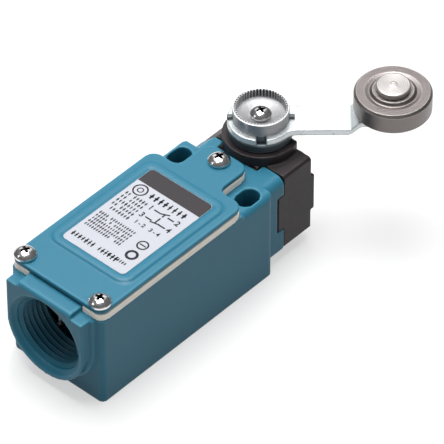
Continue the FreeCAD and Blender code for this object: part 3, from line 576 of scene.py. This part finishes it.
# %% Conduit thread as a geometry tree
def thread_tree():
    tree, given = shape_group("thread_ridge", [
        ("Radius", NUMBER, 0.01), ("Pitch", NUMBER, 0.0015), ("Turns", NUMBER, 6.0), ("Ridge", NUMBER, 0.0008)])
    height = calc(tree, "MULTIPLY", given["Pitch"], given["Turns"])
    spiral = add(tree, "GeometryNodeCurveSpiral", {
        "Resolution": 96, "Rotations": given["Turns"], "Start Radius": given["Radius"],
        "End Radius": given["Radius"], "Height": height})
    upright = add(tree, "GeometryNodeSetCurveNormal", {"Curve": spiral.outputs["Curve"]}, mode="Z_UP")
    ring = add(tree, "GeometryNodeCurvePrimitiveCircle", {"Resolution": 4, "Radius": given["Ridge"]},
               mode="RADIUS")
    sweep = add(tree, "GeometryNodeCurveToMesh", {
        "Curve": upright.outputs["Curve"], "Profile Curve": ring.outputs["Curve"], "Fill Caps": True})
    return close_shape(tree, given, sweep.outputs["Mesh"])


thread = grown("conduit_thread", thread_tree(), {
    "Radius": 10.0 * MM, "Pitch": 1.5 * MM, "Turns": 6.2, "Ridge": 0.8 * MM, "Material": looks["body_paint"]})
place_mesh(thread.data, Vector((0, (ENTRY_LOW + 0.5) * MM, conduit_at.z)), tilt=INTO_BODY)
thread.data.shade_smooth()
thread.data.set_sharp_from_angle(angle=math.radians(40))
dress(thread, "housing", hides=False)

# %% [markdown]
# ## Cover and gasket
# The cover is a second casting. A low rounded bead runs round the label, so that nothing rubs on the print. In the
# frame this is one flat raised panel, so the panel is cut down to the label's bed and the bead is laid round it.
# A bead is again one profile that follows one path. Plate and bead are then rebuilt as one skin, so that they run
# into each other as cast metal does. A sheet of cream fibre seals the cover to the body, and its edge shows all
# round.

# %% Rounded bead as a geometry tree
def bead_tree():
    tree, given = shape_group("bead_on_path", [
        ("Half Width", NUMBER, 0.001), ("Flatness", NUMBER, 0.5)])
    path = add(tree, "GeometryNodeMeshToCurve", {"Mesh": given["Geometry"]})
    upright = add(tree, "GeometryNodeSetCurveNormal", {"Curve": path.outputs["Curve"]}, mode="Z_UP")
    ring = add(tree, "GeometryNodeCurvePrimitiveCircle", {
        "Resolution": 20, "Radius": given["Half Width"]}, mode="RADIUS")
    squash = add(tree, "ShaderNodeCombineXYZ", {"X": 1.0, "Y": given["Flatness"], "Z": 1.0})
    oval = add(tree, "GeometryNodeTransform", {
        "Geometry": ring.outputs["Curve"], "Scale": squash.outputs["Vector"]})
    sweep = add(tree, "GeometryNodeCurveToMesh", {
        "Curve": upright.outputs["Curve"], "Profile Curve": oval.outputs["Geometry"]})
    return close_shape(tree, given, sweep.outputs["Mesh"])

# %% Cover with its bead
PLANER = 100
BED = 0.28
BEAD_OUT = 1.5
BEAD_IN = 0.4
BEAD_TURN_R = 2.2
BEAD_HALF = 1.3
BEAD_RISE = 0.6
label_low, label_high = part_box("rating_label")
cover_high = 1000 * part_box("cover")[1].z
plate_top = cover_high - BEAD_RISE
cover = plain_copy("cover_plate", "cover")
shell = bmesh.new()
bmesh.ops.create_cube(shell, size=PLANER * MM)
planer = add_object("planer", mesh_from("planer", shell))
place_mesh(planer.data, Vector((0, 0, (plate_top + BED + PLANER / 2) * MM)))
carve(cover, planer)
soften(cover, cell=0.22, rounds=18)
bead_x = 1000 * label_high.x + BEAD_OUT
bead_y = (1000 * label_low.y - BEAD_OUT + BEAD_IN, 1000 * label_high.y + BEAD_OUT - BEAD_IN)
path = [p * MM for p in rounded([(-bead_x, bead_y[0], BEAD_TURN_R), (bead_x, bead_y[0], BEAD_TURN_R),
                                (bead_x, bead_y[1], BEAD_TURN_R), (-bead_x, bead_y[1], BEAD_TURN_R)], 8)]
bead = grown("bead", bead_tree(), {
    "Half Width": BEAD_HALF * MM, "Flatness": BEAD_RISE / BEAD_HALF, "Material": looks["body_paint"]},
    [(p.x, p.y, plate_top * MM) for p in path], [(k, (k + 1) % len(path)) for k in range(len(path))])
cover.data = join("cover_plate", [cover.data, bead.data])
drop(bead)
dress(soften(cover, cell=0.19, rounds=2, keep=0.45), "cover")
dress(soften(plain_copy("gasket_sheet", "cover_gasket"), cell=0.2, rounds=2, keep=0.4), "cover_gasket")

# %% [markdown]
# ## Rotary head
# The head is a third casting, with a coat that is nearly black. It takes the shaft and its seal, and its grain is
# finer and deeper than the paint's.

# %% Rotary head
dress(soften(plain_copy("rotary_head", "head_housing"), cell=0.2, rounds=4, keep=0.4), "head_housing")

# %% [markdown]
# ## Screws
# Every screw here is a pan head with a cross recess. One head of each size is made with care: a turned dome, and a
# cross with sloping walls cut out of it. The walls of the cross are marked and painted dark, as painted shade,
# because light hardly reaches them. Then a geometry tree puts a copy on each point of a small point cloud. Real
# screws stop at any angle, so each copy gets its own turn from a fixed seed.

# %% Cross-shaped cutter
def cross_cutter(name, reach, waist, depth):
    """Tapered cross: wide at the top, narrow at the bottom, from 0.6 above zero down to the depth."""
    def outline(r, w):
        corners = [Vector(p) for p in ((r, -w), (r, w), (w, w))]
        return [Matrix.Rotation(k * math.pi / 2, 2) @ p for k in range(4) for p in corners]

    shell, _ = shell_between(outline(reach * 0.35, waist * 0.6), outline(reach, waist), -depth, 0.6)
    return add_object(name, mesh_from(name, shell))

# %% One pan head with a cross recess
RIM_SHARE = 0.38
DOME_STEPS = 14
CHAMFER = 0.2


def pan_screw(name, head_r, head_h, shank_r, length):
    """Screw about Z with the underside of its head at zero. Attribute "edge" is 1 on the faces of the recess, which
    the finish paints dark as painted shade.
    """
    rim, rise = head_h * RIM_SHARE, head_h * (1 - RIM_SHARE)
    ball = (head_r ** 2 + rise ** 2) / (2 * rise)

    def dome_z(r):
        return head_h - ball + math.sqrt(max(0.0, ball ** 2 - r ** 2))

    dome = [ball * math.sin(k / DOME_STEPS * math.asin(head_r / ball)) for k in range(DOME_STEPS, -1, -1)]
    section = rounded([(0, 0, 0), (head_r - CHAMFER, 0, 0), (head_r, CHAMFER, 0)])
    piece = add_object(name, turned_mesh(name, section + [Vector((r, dome_z(r))) for r in dome], 96))
    tool = cross_cutter(name + "_cross", head_r * 0.6, head_r * 0.17, head_h * 0.6)
    place_mesh(tool.data, Vector((0, 0, head_h * MM)))
    carve(piece, tool)
    shank = rounded([(0, -length, 0), (shank_r, -length, 0.3), (shank_r, 0.2, 0), (0, 0.2, 0)])
    piece.data = join(name, [piece.data, turned_mesh(name + "_shank", shank, 32)])
    painted_shade_faces = []
    for face in piece.data.polygons:
        r, z = face.center.xy.length / MM, face.center.z / MM
        painted_shade_faces.append(1.0 if dome_z(r) - z > 0.05 and r < head_r * 0.62 and z > rim * 0.4 else 0.0)
    piece.data.attributes.remove(piece.data.attributes["edge"])
    set_edge(piece.data, painted_shade_faces, "FACE")
    piece.data.shade_smooth()
    piece.data.set_sharp_from_angle(angle=math.radians(32))
    piece.hide_render = True
    return piece

# %% A copy of the screw on every point
def screws_tree():
    tree, given = shape_group("screws_on_points", [
        ("Screw", "NodeSocketObject", None), ("Lay", "NodeSocketRotation", None), ("Seed", WHOLE, 1)])
    screw = add(tree, "GeometryNodeObjectInfo", {"Object": given["Screw"]})
    copies = add(tree, "GeometryNodeInstanceOnPoints", {
        "Points": given["Geometry"], "Instance": screw.outputs["Geometry"],
        "Rotation": given["Lay"]})
    chance = add(tree, "FunctionNodeRandomValue", {"Seed": given["Seed"], 3: math.pi / 2}, data_type="FLOAT")
    spin = add(tree, "ShaderNodeCombineXYZ", {"Z": chance.outputs[1]})
    turned = add(tree, "GeometryNodeRotateInstances", {
        "Instances": copies.outputs["Instances"], "Rotation": spin.outputs["Vector"], "Local Space": True})
    return close_shape(tree, given, turned.outputs["Instances"])


screws = screws_tree()


def fasten(name, node, screw, places, lay, seed):
    piece = grown(name, screws, {
        "Screw": screw, "Lay": Euler(lay), "Seed": seed, "Material": looks["bright_screw"]}, places)
    dress(piece, node)

# %% Find where each screw of the frame sits
def islands(node):
    """Lowest and highest corner of each separate solid of a CAD node."""
    copy = plain_copy("islands", node)
    shell = bmesh.new()
    shell.from_mesh(copy.data)
    boxes, seen = [], set()
    for vertex in shell.verts:
        if vertex in seen:
            continue
        stack, group = [vertex], []
        seen.add(vertex)
        while stack:
            here = stack.pop()
            group.append(here.co.copy())
            for edge in here.link_edges:
                other = edge.other_vert(here)
                if other not in seen:
                    seen.add(other)
                    stack.append(other)
        boxes.append([Vector([pick(p[k] for p in group) for k in range(3)]) for pick in (min, max)])
    shell.free()
    drop(copy)
    return boxes

# %% Screws on the cover, the head and the hub
cover_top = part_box("cover_screws")[1].z
HEAD_H = 2.1
END_HEAD_H = 1.9
SHANK_R = 1.5
ACROSS = (-math.pi / 2, 0, 0)
screw_m3 = pan_screw("screw_m3", 2.8, HEAD_H, SHANK_R, 9.0)
cover_seats = [((low.x + high.x) / 2, (low.y + high.y) / 2, cover_top - HEAD_H * MM)
               for low, high in islands("cover_screws")]
fasten("cover_pan_screws", "cover_screws", screw_m3, cover_seats, (0, 0, 0), 4)

end_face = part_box("head_screws")[1].y
screw_end = pan_screw("screw_end", 2.6, END_HEAD_H, SHANK_R,
                      1000 * (end_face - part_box("head_screws")[0].y) - END_HEAD_H)
end_seats = [((low.x + high.x) / 2, end_face - END_HEAD_H * MM, (low.z + high.z) / 2)
             for low, high in islands("head_screws")]
fasten("head_pan_screws", "head_screws", screw_end, end_seats, ACROSS, 2)

hub_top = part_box("hub_screw")[1].z
screw_hub = pan_screw("screw_hub", 2.63, HEAD_H, SHANK_R, 9.5)
fasten("hub_pan_screw", "hub_screw", screw_hub, [(shaft_at.x, shaft_at.y, hub_top - HEAD_H * MM)], (0, 0, 0), 7)
for master in (screw_m3, screw_end, screw_hub):
    drop(master)

# %% [markdown]
# ## Lever, disc and hub
# The lever is a strip of plated steel with an eye. It is locked between a dark disc and a die-cast hub whose cup
# has fine teeth inside. The strip comes from the frame with softened edges, and keeps all its cells, since thinning
# leaves dark specks on bright metal. The disc and the hub are turned. A geometry tree sets the teeth round the cup,
# and a thin dark liner behind them stands for the shade between teeth. Two pegs and two keys keep the hub from
# turning on the strip.

# %% Lever strip and drive disc
dress(soften(plain_copy("lever_strip", "lever_arm"), cell=0.18, rounds=3), "lever_arm")

disc_low, disc_high = (1000 * corner.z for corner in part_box("drive_disc"))
DISC_R = 8.05
DISC_BORE_R = 3.0
disc_section = rounded([(DISC_BORE_R, disc_low, 0.1), (DISC_R, disc_low, 0.3), (DISC_R, disc_high, 0.45),
                        (DISC_BORE_R, disc_high, 0.1)])
dress(turned_piece("lock_disc", disc_section, HUB_CENTRE), "drive_disc")

# %% Hub cup
HUB_R = 7.05
CUP_R = 6.62
SPIGOT_R = 4.35
SHAFT_HOLE_R = 3.02
SCREW_HOLE_R = 1.7
WEB = 0.55
ARM_TOP = 34.35
hub_low, hub_high = (1000 * corner.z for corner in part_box("lever_hub"))
cup_floor = 1000 * hub_top - HEAD_H
hub_section = rounded([
    (SHAFT_HOLE_R, hub_low, 0), (SPIGOT_R, hub_low, 0), (SPIGOT_R, ARM_TOP, 0), (HUB_R, ARM_TOP, 0.25),
    (HUB_R, hub_high, 0.18), (CUP_R, hub_high, 0.12), (CUP_R, cup_floor, 0.3), (3.0, cup_floor, 0),
    (SCREW_HOLE_R, cup_floor, 0), (SCREW_HOLE_R, cup_floor - WEB, 0), (SHAFT_HOLE_R, cup_floor - WEB, 0)])
hub = turned_piece("hub_cup", hub_section, HUB_CENTRE, turn=lever_turn)

# %% Teeth round the cup
def teeth_tree():
    tree, given = shape_group("teeth_round_cup", [
        ("Count", WHOLE, 50), ("Radius", NUMBER, 0.0066), ("Tooth", NUMBER, 0.0004), ("Length", NUMBER, 0.002),
        ("Height", NUMBER, 0.0)])
    ring = add(tree, "GeometryNodeMeshCircle", {
        "Vertices": given["Count"], "Radius": given["Radius"]})
    tooth = add(tree, "GeometryNodeMeshCylinder", {
        "Vertices": 3, "Radius": given["Tooth"], "Depth": given["Length"]})
    index = add(tree, "GeometryNodeInputIndex")
    share = calc(tree, "DIVIDE", index.outputs[0], given["Count"])
    turn = calc(tree, "MULTIPLY_ADD", share, 2 * math.pi, math.pi)
    face_in = add(tree, "ShaderNodeCombineXYZ", {"Z": turn})
    copies = add(tree, "GeometryNodeInstanceOnPoints", {
        "Points": ring.outputs["Mesh"], "Instance": tooth.outputs["Mesh"], "Rotation": face_in.outputs["Vector"]})
    lift = add(tree, "ShaderNodeCombineXYZ", {"Z": given["Height"]})
    raised = add(tree, "GeometryNodeTransform", {
        "Geometry": copies.outputs["Instances"], "Translation": lift.outputs["Vector"]})
    return close_shape(tree, given, raised.outputs["Geometry"])


TOOTH = 0.42
TOOTH_COUNT = 50
LINER_IN = CUP_R - 0.04
LINER_OUT = CUP_R + 0.1
tooth_high = hub_high - 0.04
liner_high = tooth_high - 0.1
teeth = grown("hub_teeth", teeth_tree(), {
    "Count": TOOTH_COUNT, "Radius": (CUP_R - 0.1) * MM, "Tooth": TOOTH * MM,
    "Length": (tooth_high - cup_floor) * MM, "Height": (tooth_high + cup_floor) / 2 * MM, "Material": teeth_shade_and_tip_highlight})
# The tips get the painted highlight, and the rest of each tooth stays dark as painted shade.
painted_highlight_tips = [1.0 if vertex.co.xy.length < (CUP_R - 0.2) * MM else 0.0 for vertex in teeth.data.vertices]
set_edge(teeth.data, painted_highlight_tips)
# The dark wall behind the teeth is painted shade, not a part of the hub.
shade_liner = turned_mesh("painted_shade_wall", [
    (LINER_IN, cup_floor), (LINER_OUT, cup_floor), (LINER_OUT, liner_high), (LINER_IN, liner_high)])
shade_liner.attributes["edge"].data.foreach_set("value", [0.0] * len(shade_liner.vertices))
teeth.data = join("hub_teeth", [teeth.data, shade_liner])
place_mesh(teeth.data, HUB_CENTRE, lever_turn)
dress(teeth, "lever_hub", teeth_shade_and_tip_highlight, hides=False)

# %% Pegs that lock the hub to the strip
def soft_box(name, low, high, radius=0.12):
    """Box between two corners in mm, with rounded edges."""
    shell = bmesh.new()
    bmesh.ops.create_cube(shell, size=1)
    size = Vector(high) - Vector(low)
    middle = (Vector(high) + Vector(low)) / 2
    for vertex in shell.verts:
        vertex.co = Vector([vertex.co[k] * size[k] + middle[k] for k in range(3)]) * MM
    bmesh.ops.bevel(shell, geom=shell.edges[:], offset=radius * MM, segments=3, profile=0.5, affect="EDGES")
    mesh = mesh_from(name, shell)
    mesh.shade_smooth()
    return mesh


PEG = (6.0, 8.3)
PEG_HALF = 0.55
KEY = (5.9, 7.0)
KEY_HALF = 1.1
MARK = (0.75, 0.95)
MARK_AT = -4.4
pegs = []
for side in (-1, 1):
    x0, x1 = sorted(side * r for r in PEG)
    pegs.append(soft_box("peg", (x0, -PEG_HALF, ARM_TOP), (x1, PEG_HALF, cup_floor)))
    y0, y1 = sorted(side * r for r in KEY)
    pegs.append(soft_box("key", (-KEY_HALF, y0, hub_low + 0.1), (KEY_HALF, y1, ARM_TOP + 0.5)))
mark = turned_mesh("mould_mark", rounded([
    (MARK[0], cup_floor - 0.1, 0), (MARK[1], cup_floor - 0.1, 0), (MARK[1], cup_floor + 0.08, 0.05),
    (MARK[0], cup_floor + 0.08, 0.05)]), 40)
pegs.append(place_mesh(mark, Vector((MARK_AT * MM, 0, 0))))
locks = add_object("hub_pegs", join("hub_pegs", pegs))
place_mesh(locks.data, HUB_CENTRE, lever_turn)
dress(locks, "lever_hub", peg_steel, hides=False)
dress(hub, "lever_hub")

# %% [markdown]
# ## Roller and pin
# The roller is pressed from steel powder and sized, so its flat is faintly grainy and its edges carry a wide bevel.
# A shallow groove runs round the collar, and its outer side rises to the flat in a hollow curve. The pin's head is
# faced on a lathe: fine rings run round it, and a small pip is left at the centre.

# %% Roller
ROLLER_R = 9.695
BEVEL = 0.6
COLLAR_R = 5.2
COLLAR_H = 0.6
GROOVE_DEPTH = 0.3
BORE = 3.05
roller_low, roller_high = (1000 * corner.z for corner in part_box("roller"))
flat_z = roller_high - COLLAR_H
roller_section = rounded([
    (BORE, roller_low, 0.15), (ROLLER_R - BEVEL, roller_low, 0.1), (ROLLER_R, roller_low + BEVEL, 0.12),
    (ROLLER_R, flat_z - BEVEL, 0.12), (ROLLER_R - BEVEL, flat_z, 0.08), (COLLAR_R + 1.8, flat_z, 1.2),
    (COLLAR_R + 0.6, flat_z - GROOVE_DEPTH, 0.5), (COLLAR_R - 0.05, roller_high - 0.02, 0.12),
    (BORE, roller_high, 0.15)], steps=6)
dress(turned_piece("roller_ring", roller_section, ROLLER_CENTRE, steps=160, margin=0.2), "roller")

# %% Roller pin
PIN_R = 3.0
PIN_HEAD_R = 4.27
RIVET_R = 4.0
pin_low, pin_high = (1000 * corner.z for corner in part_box("roller_pin"))
head_low = pin_high - 1.55
face_z = pin_high - 0.08
arm_under = pin_low + 0.85
pin_section = rounded([
    (0, pin_low, 0), (RIVET_R, pin_low, 0.4), (RIVET_R, arm_under, 0.1), (PIN_R, arm_under, 0),
    (PIN_R, head_low, 0), (PIN_HEAD_R, head_low, 0.15), (PIN_HEAD_R, face_z, 0.35),
    (1.1, face_z, 0.3), (0.7, pin_high, 0.2), (0, pin_high, 0)], steps=6)
dress(turned_piece("pin_riveted", pin_section, ROLLER_CENTRE), "roller_pin")

# %% [markdown]
# ## Label
# The label is a thin foil plate with round corners. What is printed on it is generic: a bare dark band, rows of
# small strokes where the small print would be, a few plain rings, and a plain contact diagram with terminal
# numbers. The rows are a job for Geometry Nodes: a grid of points, some of them left out, and a stroke of random
# size on each.

# %% Label plate
LABEL_W, LABEL_L = (1000 * (label_high[k] - label_low[k]) for k in (0, 1))
LABEL_MID = (label_low + label_high) / 2
CORNER_R = 1.2


def flat_plate(name, x0, x1, y0, y1, low, high, radii, bevel=0.0):
    """Plate with corner radii (x0y0, x1y0, x1y1, x0y1), all in mm about the label's middle."""
    plan = rounded([(x0, y0, radii[0]), (x1, y0, radii[1]), (x1, y1, radii[2]), (x0, y1, radii[3])], 8)
    shell, top = shell_between(plan, plan, low, high)
    if bevel:
        bmesh.ops.bevel(shell, geom=top.edges[:], offset=bevel * MM, segments=2, profile=0.5, affect="EDGES")
    return mesh_from(name, shell)


INK = 0.02
foil_z = plate_top + BED - 0.05
label_z = foil_z + 0.17
ink_low = label_z - INK - 0.005
place_label = Vector((LABEL_MID.x, LABEL_MID.y, 0))
half_w, half_l = LABEL_W / 2, LABEL_L / 2
foil = add_object("label_foil_plate", flat_plate(
    "label_foil_plate", -half_w, half_w, -half_l, half_l, foil_z, label_z - INK, [CORNER_R] * 4, 0.04))
place_mesh(foil.data, place_label)
dress(foil, "rating_label")

BAND = 5.2
MARGIN = 0.05
band = add_object("label_band", flat_plate(
    "label_band", -half_w + MARGIN, half_w - MARGIN, half_l - BAND, half_l - MARGIN, ink_low, label_z,
    [0, 0, CORNER_R, CORNER_R]))
place_mesh(band.data, place_label)
dress(band, "rating_label", band_ink, hides=False)

# %% Rows of small strokes
def strokes_tree():
    tree, given = shape_group("rows_of_strokes", [
        ("Width", NUMBER, 0.01), ("Depth", NUMBER, 0.01), ("Columns", WHOLE, 20), ("Rows", WHOLE, 4),
        ("Stroke", VECTOR, (0.0003, 0.0007, 0.00002)), ("Seed", WHOLE, 1)])
    grid = add(tree, "GeometryNodeMeshGrid", {
        "Size X": given["Width"], "Size Y": given["Depth"],
        "Vertices X": given["Columns"], "Vertices Y": given["Rows"]})
    keep = add(tree, "FunctionNodeRandomValue", {"Seed": given["Seed"], "Probability": 0.92},
               data_type="BOOLEAN")
    upright = add(tree, "GeometryNodeMeshCube", {"Size": given["Stroke"]})
    lying_size = add(tree, "ShaderNodeVectorMath", {
        0: given["Stroke"], 1: (2.0, 0.25, 1.0)}, operation="MULTIPLY")
    lying = add(tree, "GeometryNodeMeshCube", {"Size": lying_size.outputs[0]})
    stroke = add(tree, "GeometryNodeJoinGeometry")
    tree.links.new(upright.outputs["Mesh"], stroke.inputs[0])
    tree.links.new(lying.outputs["Mesh"], stroke.inputs[0])
    size = add(tree, "FunctionNodeRandomValue", {
        "Seed": given["Seed"], 0: (0.75, 0.75, 1), 1: (1.15, 1.05, 1)}, data_type="FLOAT_VECTOR")
    copies = add(tree, "GeometryNodeInstanceOnPoints", {
        "Points": grid.outputs["Mesh"], "Instance": stroke.outputs["Geometry"], "Selection": keep.outputs[3],
        "Scale": size.outputs[0]})
    return close_shape(tree, given, copies.outputs["Instances"])


strokes = strokes_tree()


def print_rows(name, x0, x1, top, rows, spacing, height, pitch, seed):
    """Rows of strokes from x0 to x1, the first one centred at top, in mm about the label's middle."""
    width, depth = x1 - x0, spacing * (rows - 1)
    piece = grown(name, strokes, {
        "Width": width * MM, "Depth": depth * MM, "Columns": int(width / pitch) + 1, "Rows": rows,
        "Stroke": (0.36 * pitch * MM, height * MM, INK * MM), "Seed": seed, "Material": label_ink})
    middle = Vector(((x0 + x1) / 2 * MM, (top - depth / 2) * MM, (label_z - INK / 2) * MM))
    place_mesh(piece.data, middle + place_label)
    return piece


rows = [
    print_rows("rows_left", -8.9, -2.6, 5.7, 5, 1.62, 1.3, 0.82, 3),
    print_rows("row_title", -3.4, 8.6, 8.7, 1, 0, 2.2, 1.35, 12),
    print_rows("rows_low", -8.9, 2.2, -3.6, 5, 1.3, 1.1, 0.72, 5),
    print_rows("row_foot", -8.8, 5.0, -13.2, 1, 0, 1.9, 1.05, 9),
    print_rows("row_side", 2.6, 8.6, -13.0, 1, 0, 1.1, 0.72, 6),
]
print("strokes in each group of rows:", [len(piece.data.polygons) // 12 for piece in rows])

# %% Contact diagram, rings and terminal numbers
def stroke_mesh(x0, y0, x1, y1, width=0.42):
    """Thin printed line between two points of the label."""
    a, b = Vector((x0, y0)), Vector((x1, y1))
    side = (b - a).orthogonal().normalized() * width / 2
    plan = [a - side, b - side, b + side, a + side]
    return mesh_from("line", shell_between(plan, plan, ink_low, label_z)[0])


def ring_mesh(x, y, radius, width=0.42):
    section = [(radius - width, ink_low), (radius, ink_low), (radius, label_z), (radius - width, label_z)]
    return place_mesh(turned_mesh("ring", section, 40), Vector((x * MM, y * MM, 0)))


def number_mesh(text, x, y, size=2.4):
    """A plain number as a thin solid."""
    curve = bpy.data.curves.new("number", "FONT")
    curve.body = text
    curve.size = size * MM
    curve.extrude = INK / 2 * MM
    curve.offset = 0.05 * MM
    curve.align_x = "CENTER"
    curve.align_y = "CENTER"
    holder = add_object("number", curve)
    bpy.context.view_layer.update()
    mesh = bpy.data.meshes.new_from_object(holder.evaluated_get(bpy.context.evaluated_depsgraph_get()))
    drop(holder)
    return place_mesh(mesh, Vector((x * MM, y * MM, (label_z - INK / 2) * MM)))


UPPER, LOWER = 5.6, 2.4
WIRES = ((0.2, 2.3), (4.6, 6.6))
FIRST, SECOND = -0.9, 7.7
PAIRS = -0.3
wires = [stroke_mesh(x0, y, x1, y) for y in (UPPER, LOWER) for x0, x1 in WIRES]
bridges = [stroke_mesh(2.3, 5.6, 4.5, 6.6), stroke_mesh(2.1, 1.9, 4.7, 2.5)]
dashes = [stroke_mesh(3.4, 2.2, 3.4, 4.4), stroke_mesh(3.4, 4.9, 3.4, 6.1)]
marks = [ring_mesh(-7.0, 8.5, 2.05), ring_mesh(-7.0, 8.5, 0.9, 0.3), ring_mesh(6.6, -5.4, 1.6),
         stroke_mesh(5.6, -5.4, 7.6, -5.4, 0.35), ring_mesh(6.9, -9.6, 1.7, 0.7)]
numbers = [number_mesh("1", FIRST, UPPER), number_mesh("2", SECOND, UPPER),
           number_mesh("3", FIRST, LOWER), number_mesh("4", SECOND, LOWER),
           number_mesh("1 - 2", 0.9, PAIRS, 1.7), number_mesh("3 - 4", 5.6, PAIRS, 1.7)]
ink = wires + bridges + dashes + marks + numbers
for mesh in ink:
    place_mesh(mesh, place_label)
printing = add_object("label_print", join("label_print", ink + [piece.data for piece in rows]))
for piece in rows:
    drop(piece)
dress(printing, "rating_label", label_ink, hides=False)

# %% [markdown]
# ## Floor, light and camera
# The switch lies on a white table. The table's white comes from its own colour and from what the camera sees of it,
# never from more light on the switch. A large soft lamp overhead gives the sheen on the cover and the bright strip.
# A wide one behind, on the left, lights the far edges. Two weak ones keep the right-hand wall and the near end
# readable, and the small one also puts a spark on the screws.

# %% Floor and world
WHITE = (1, 1, 1, 1)


def backdrop_material(name, strength, keep):
    """White for the camera and for reflections, with a share of the real shadow kept."""
    material = bpy.data.materials.new(name)
    material.use_nodes = True
    tree = material.node_tree
    shader = fill(tree, tree.nodes["Principled BSDF"], {
        "Base Color": (keep, keep, keep, 1), "Roughness": 0.9, "Specular IOR Level": 0.0})
    path = add(tree, "ShaderNodeLightPath")
    seen = calc(tree, "MAXIMUM", path.outputs["Is Camera Ray"], path.outputs["Is Glossy Ray"])
    glow = add(tree, "ShaderNodeEmission", {"Color": WHITE, "Strength": calc(tree, "MULTIPLY", seen, strength)})
    both = add(tree, "ShaderNodeAddShader", {0: shader.outputs[0], 1: glow.outputs[0]})
    fill(tree, tree.nodes["Material Output"], {"Surface": both.outputs[0]})
    return material


FLOOR_SIZE = 3.0
floor_mesh = bpy.data.meshes.new("floor")
half = FLOOR_SIZE / 2
floor_mesh.from_pydata([(-half, -half, 0), (half, -half, 0), (half, half, 0), (-half, half, 0)], [], [(0, 1, 2, 3)])
floor = add_object("floor", floor_mesh)
floor_mesh.materials.append(backdrop_material("table_white", 0.53, 0.32))
print("floor in metres:", FLOOR_SIZE)

ROOM_LIGHT = 0.36
ROOM_IN_MIRROR = 0.14
world = bpy.data.worlds.new("studio")
bpy.context.scene.world = world
world.use_nodes = True
sky = world.node_tree
path = add(sky, "ShaderNodeLightPath")
mirror = add(sky, "ShaderNodeMapRange", {
    "Value": path.outputs["Is Glossy Ray"], "To Min": ROOM_LIGHT, "To Max": ROOM_IN_MIRROR})
level = calc(sky, "MAXIMUM", path.outputs["Is Camera Ray"], mirror.outputs["Result"])
fill(sky, sky.nodes["Background"], {"Color": WHITE, "Strength": level})

# %% Lamps
def lamp(name, at, size, power, aim=(0, -0.01, 0.02)):
    light = bpy.data.lights.new(name, "AREA")
    light.shape = "RECTANGLE"
    light.size, light.size_y = size
    light.energy = power
    holder = add_object(name, light)
    holder.location = at
    holder.rotation_euler = (Vector(aim) - Vector(at)).to_track_quat("-Z", "Y").to_euler()


lamp("softbox_key", (-0.15, 0.06, 0.95), (0.65, 0.65), 16.5)
lamp("softbox_behind", (-0.62, 0.68, 0.78), (1.4, 1.0), 4.2)
lamp("fill_right", (0.9, -0.30, 0.40), (0.6, 0.6), 0.6)
lamp("small_lamp_left", (-0.45, -0.55, 0.60), (0.14, 0.14), 0.25)

# %% Camera
CAMERA_AT = Vector((0.6322, -0.6953, 0.8951))
CAMERA_AZIMUTH = math.radians(42.196)
CAMERA_HEIGHT = math.radians(43.262)
CAMERA_ROLL = math.radians(-0.089)
LENS = 425.5
camera_data = bpy.data.cameras.new("camera")
camera_data.lens = LENS
camera_data.sensor_width = 36.0
camera_data.clip_start = 0.05
camera_data.clip_end = 20
camera = add_object("camera", camera_data)
camera.location = CAMERA_AT
camera.rotation_mode = "QUATERNION"
back = Vector((math.sin(CAMERA_AZIMUTH) * math.cos(CAMERA_HEIGHT),
               -math.cos(CAMERA_AZIMUTH) * math.cos(CAMERA_HEIGHT), math.sin(CAMERA_HEIGHT)))
level_view = (-back).to_track_quat("-Z", "Y")
camera.rotation_quaternion = level_view @ Euler((0, 0, CAMERA_ROLL)).to_quaternion()
scene = bpy.context.scene
scene.camera = camera
scene.view_settings.view_transform = "Standard"
print("camera lens in mm:", LENS)
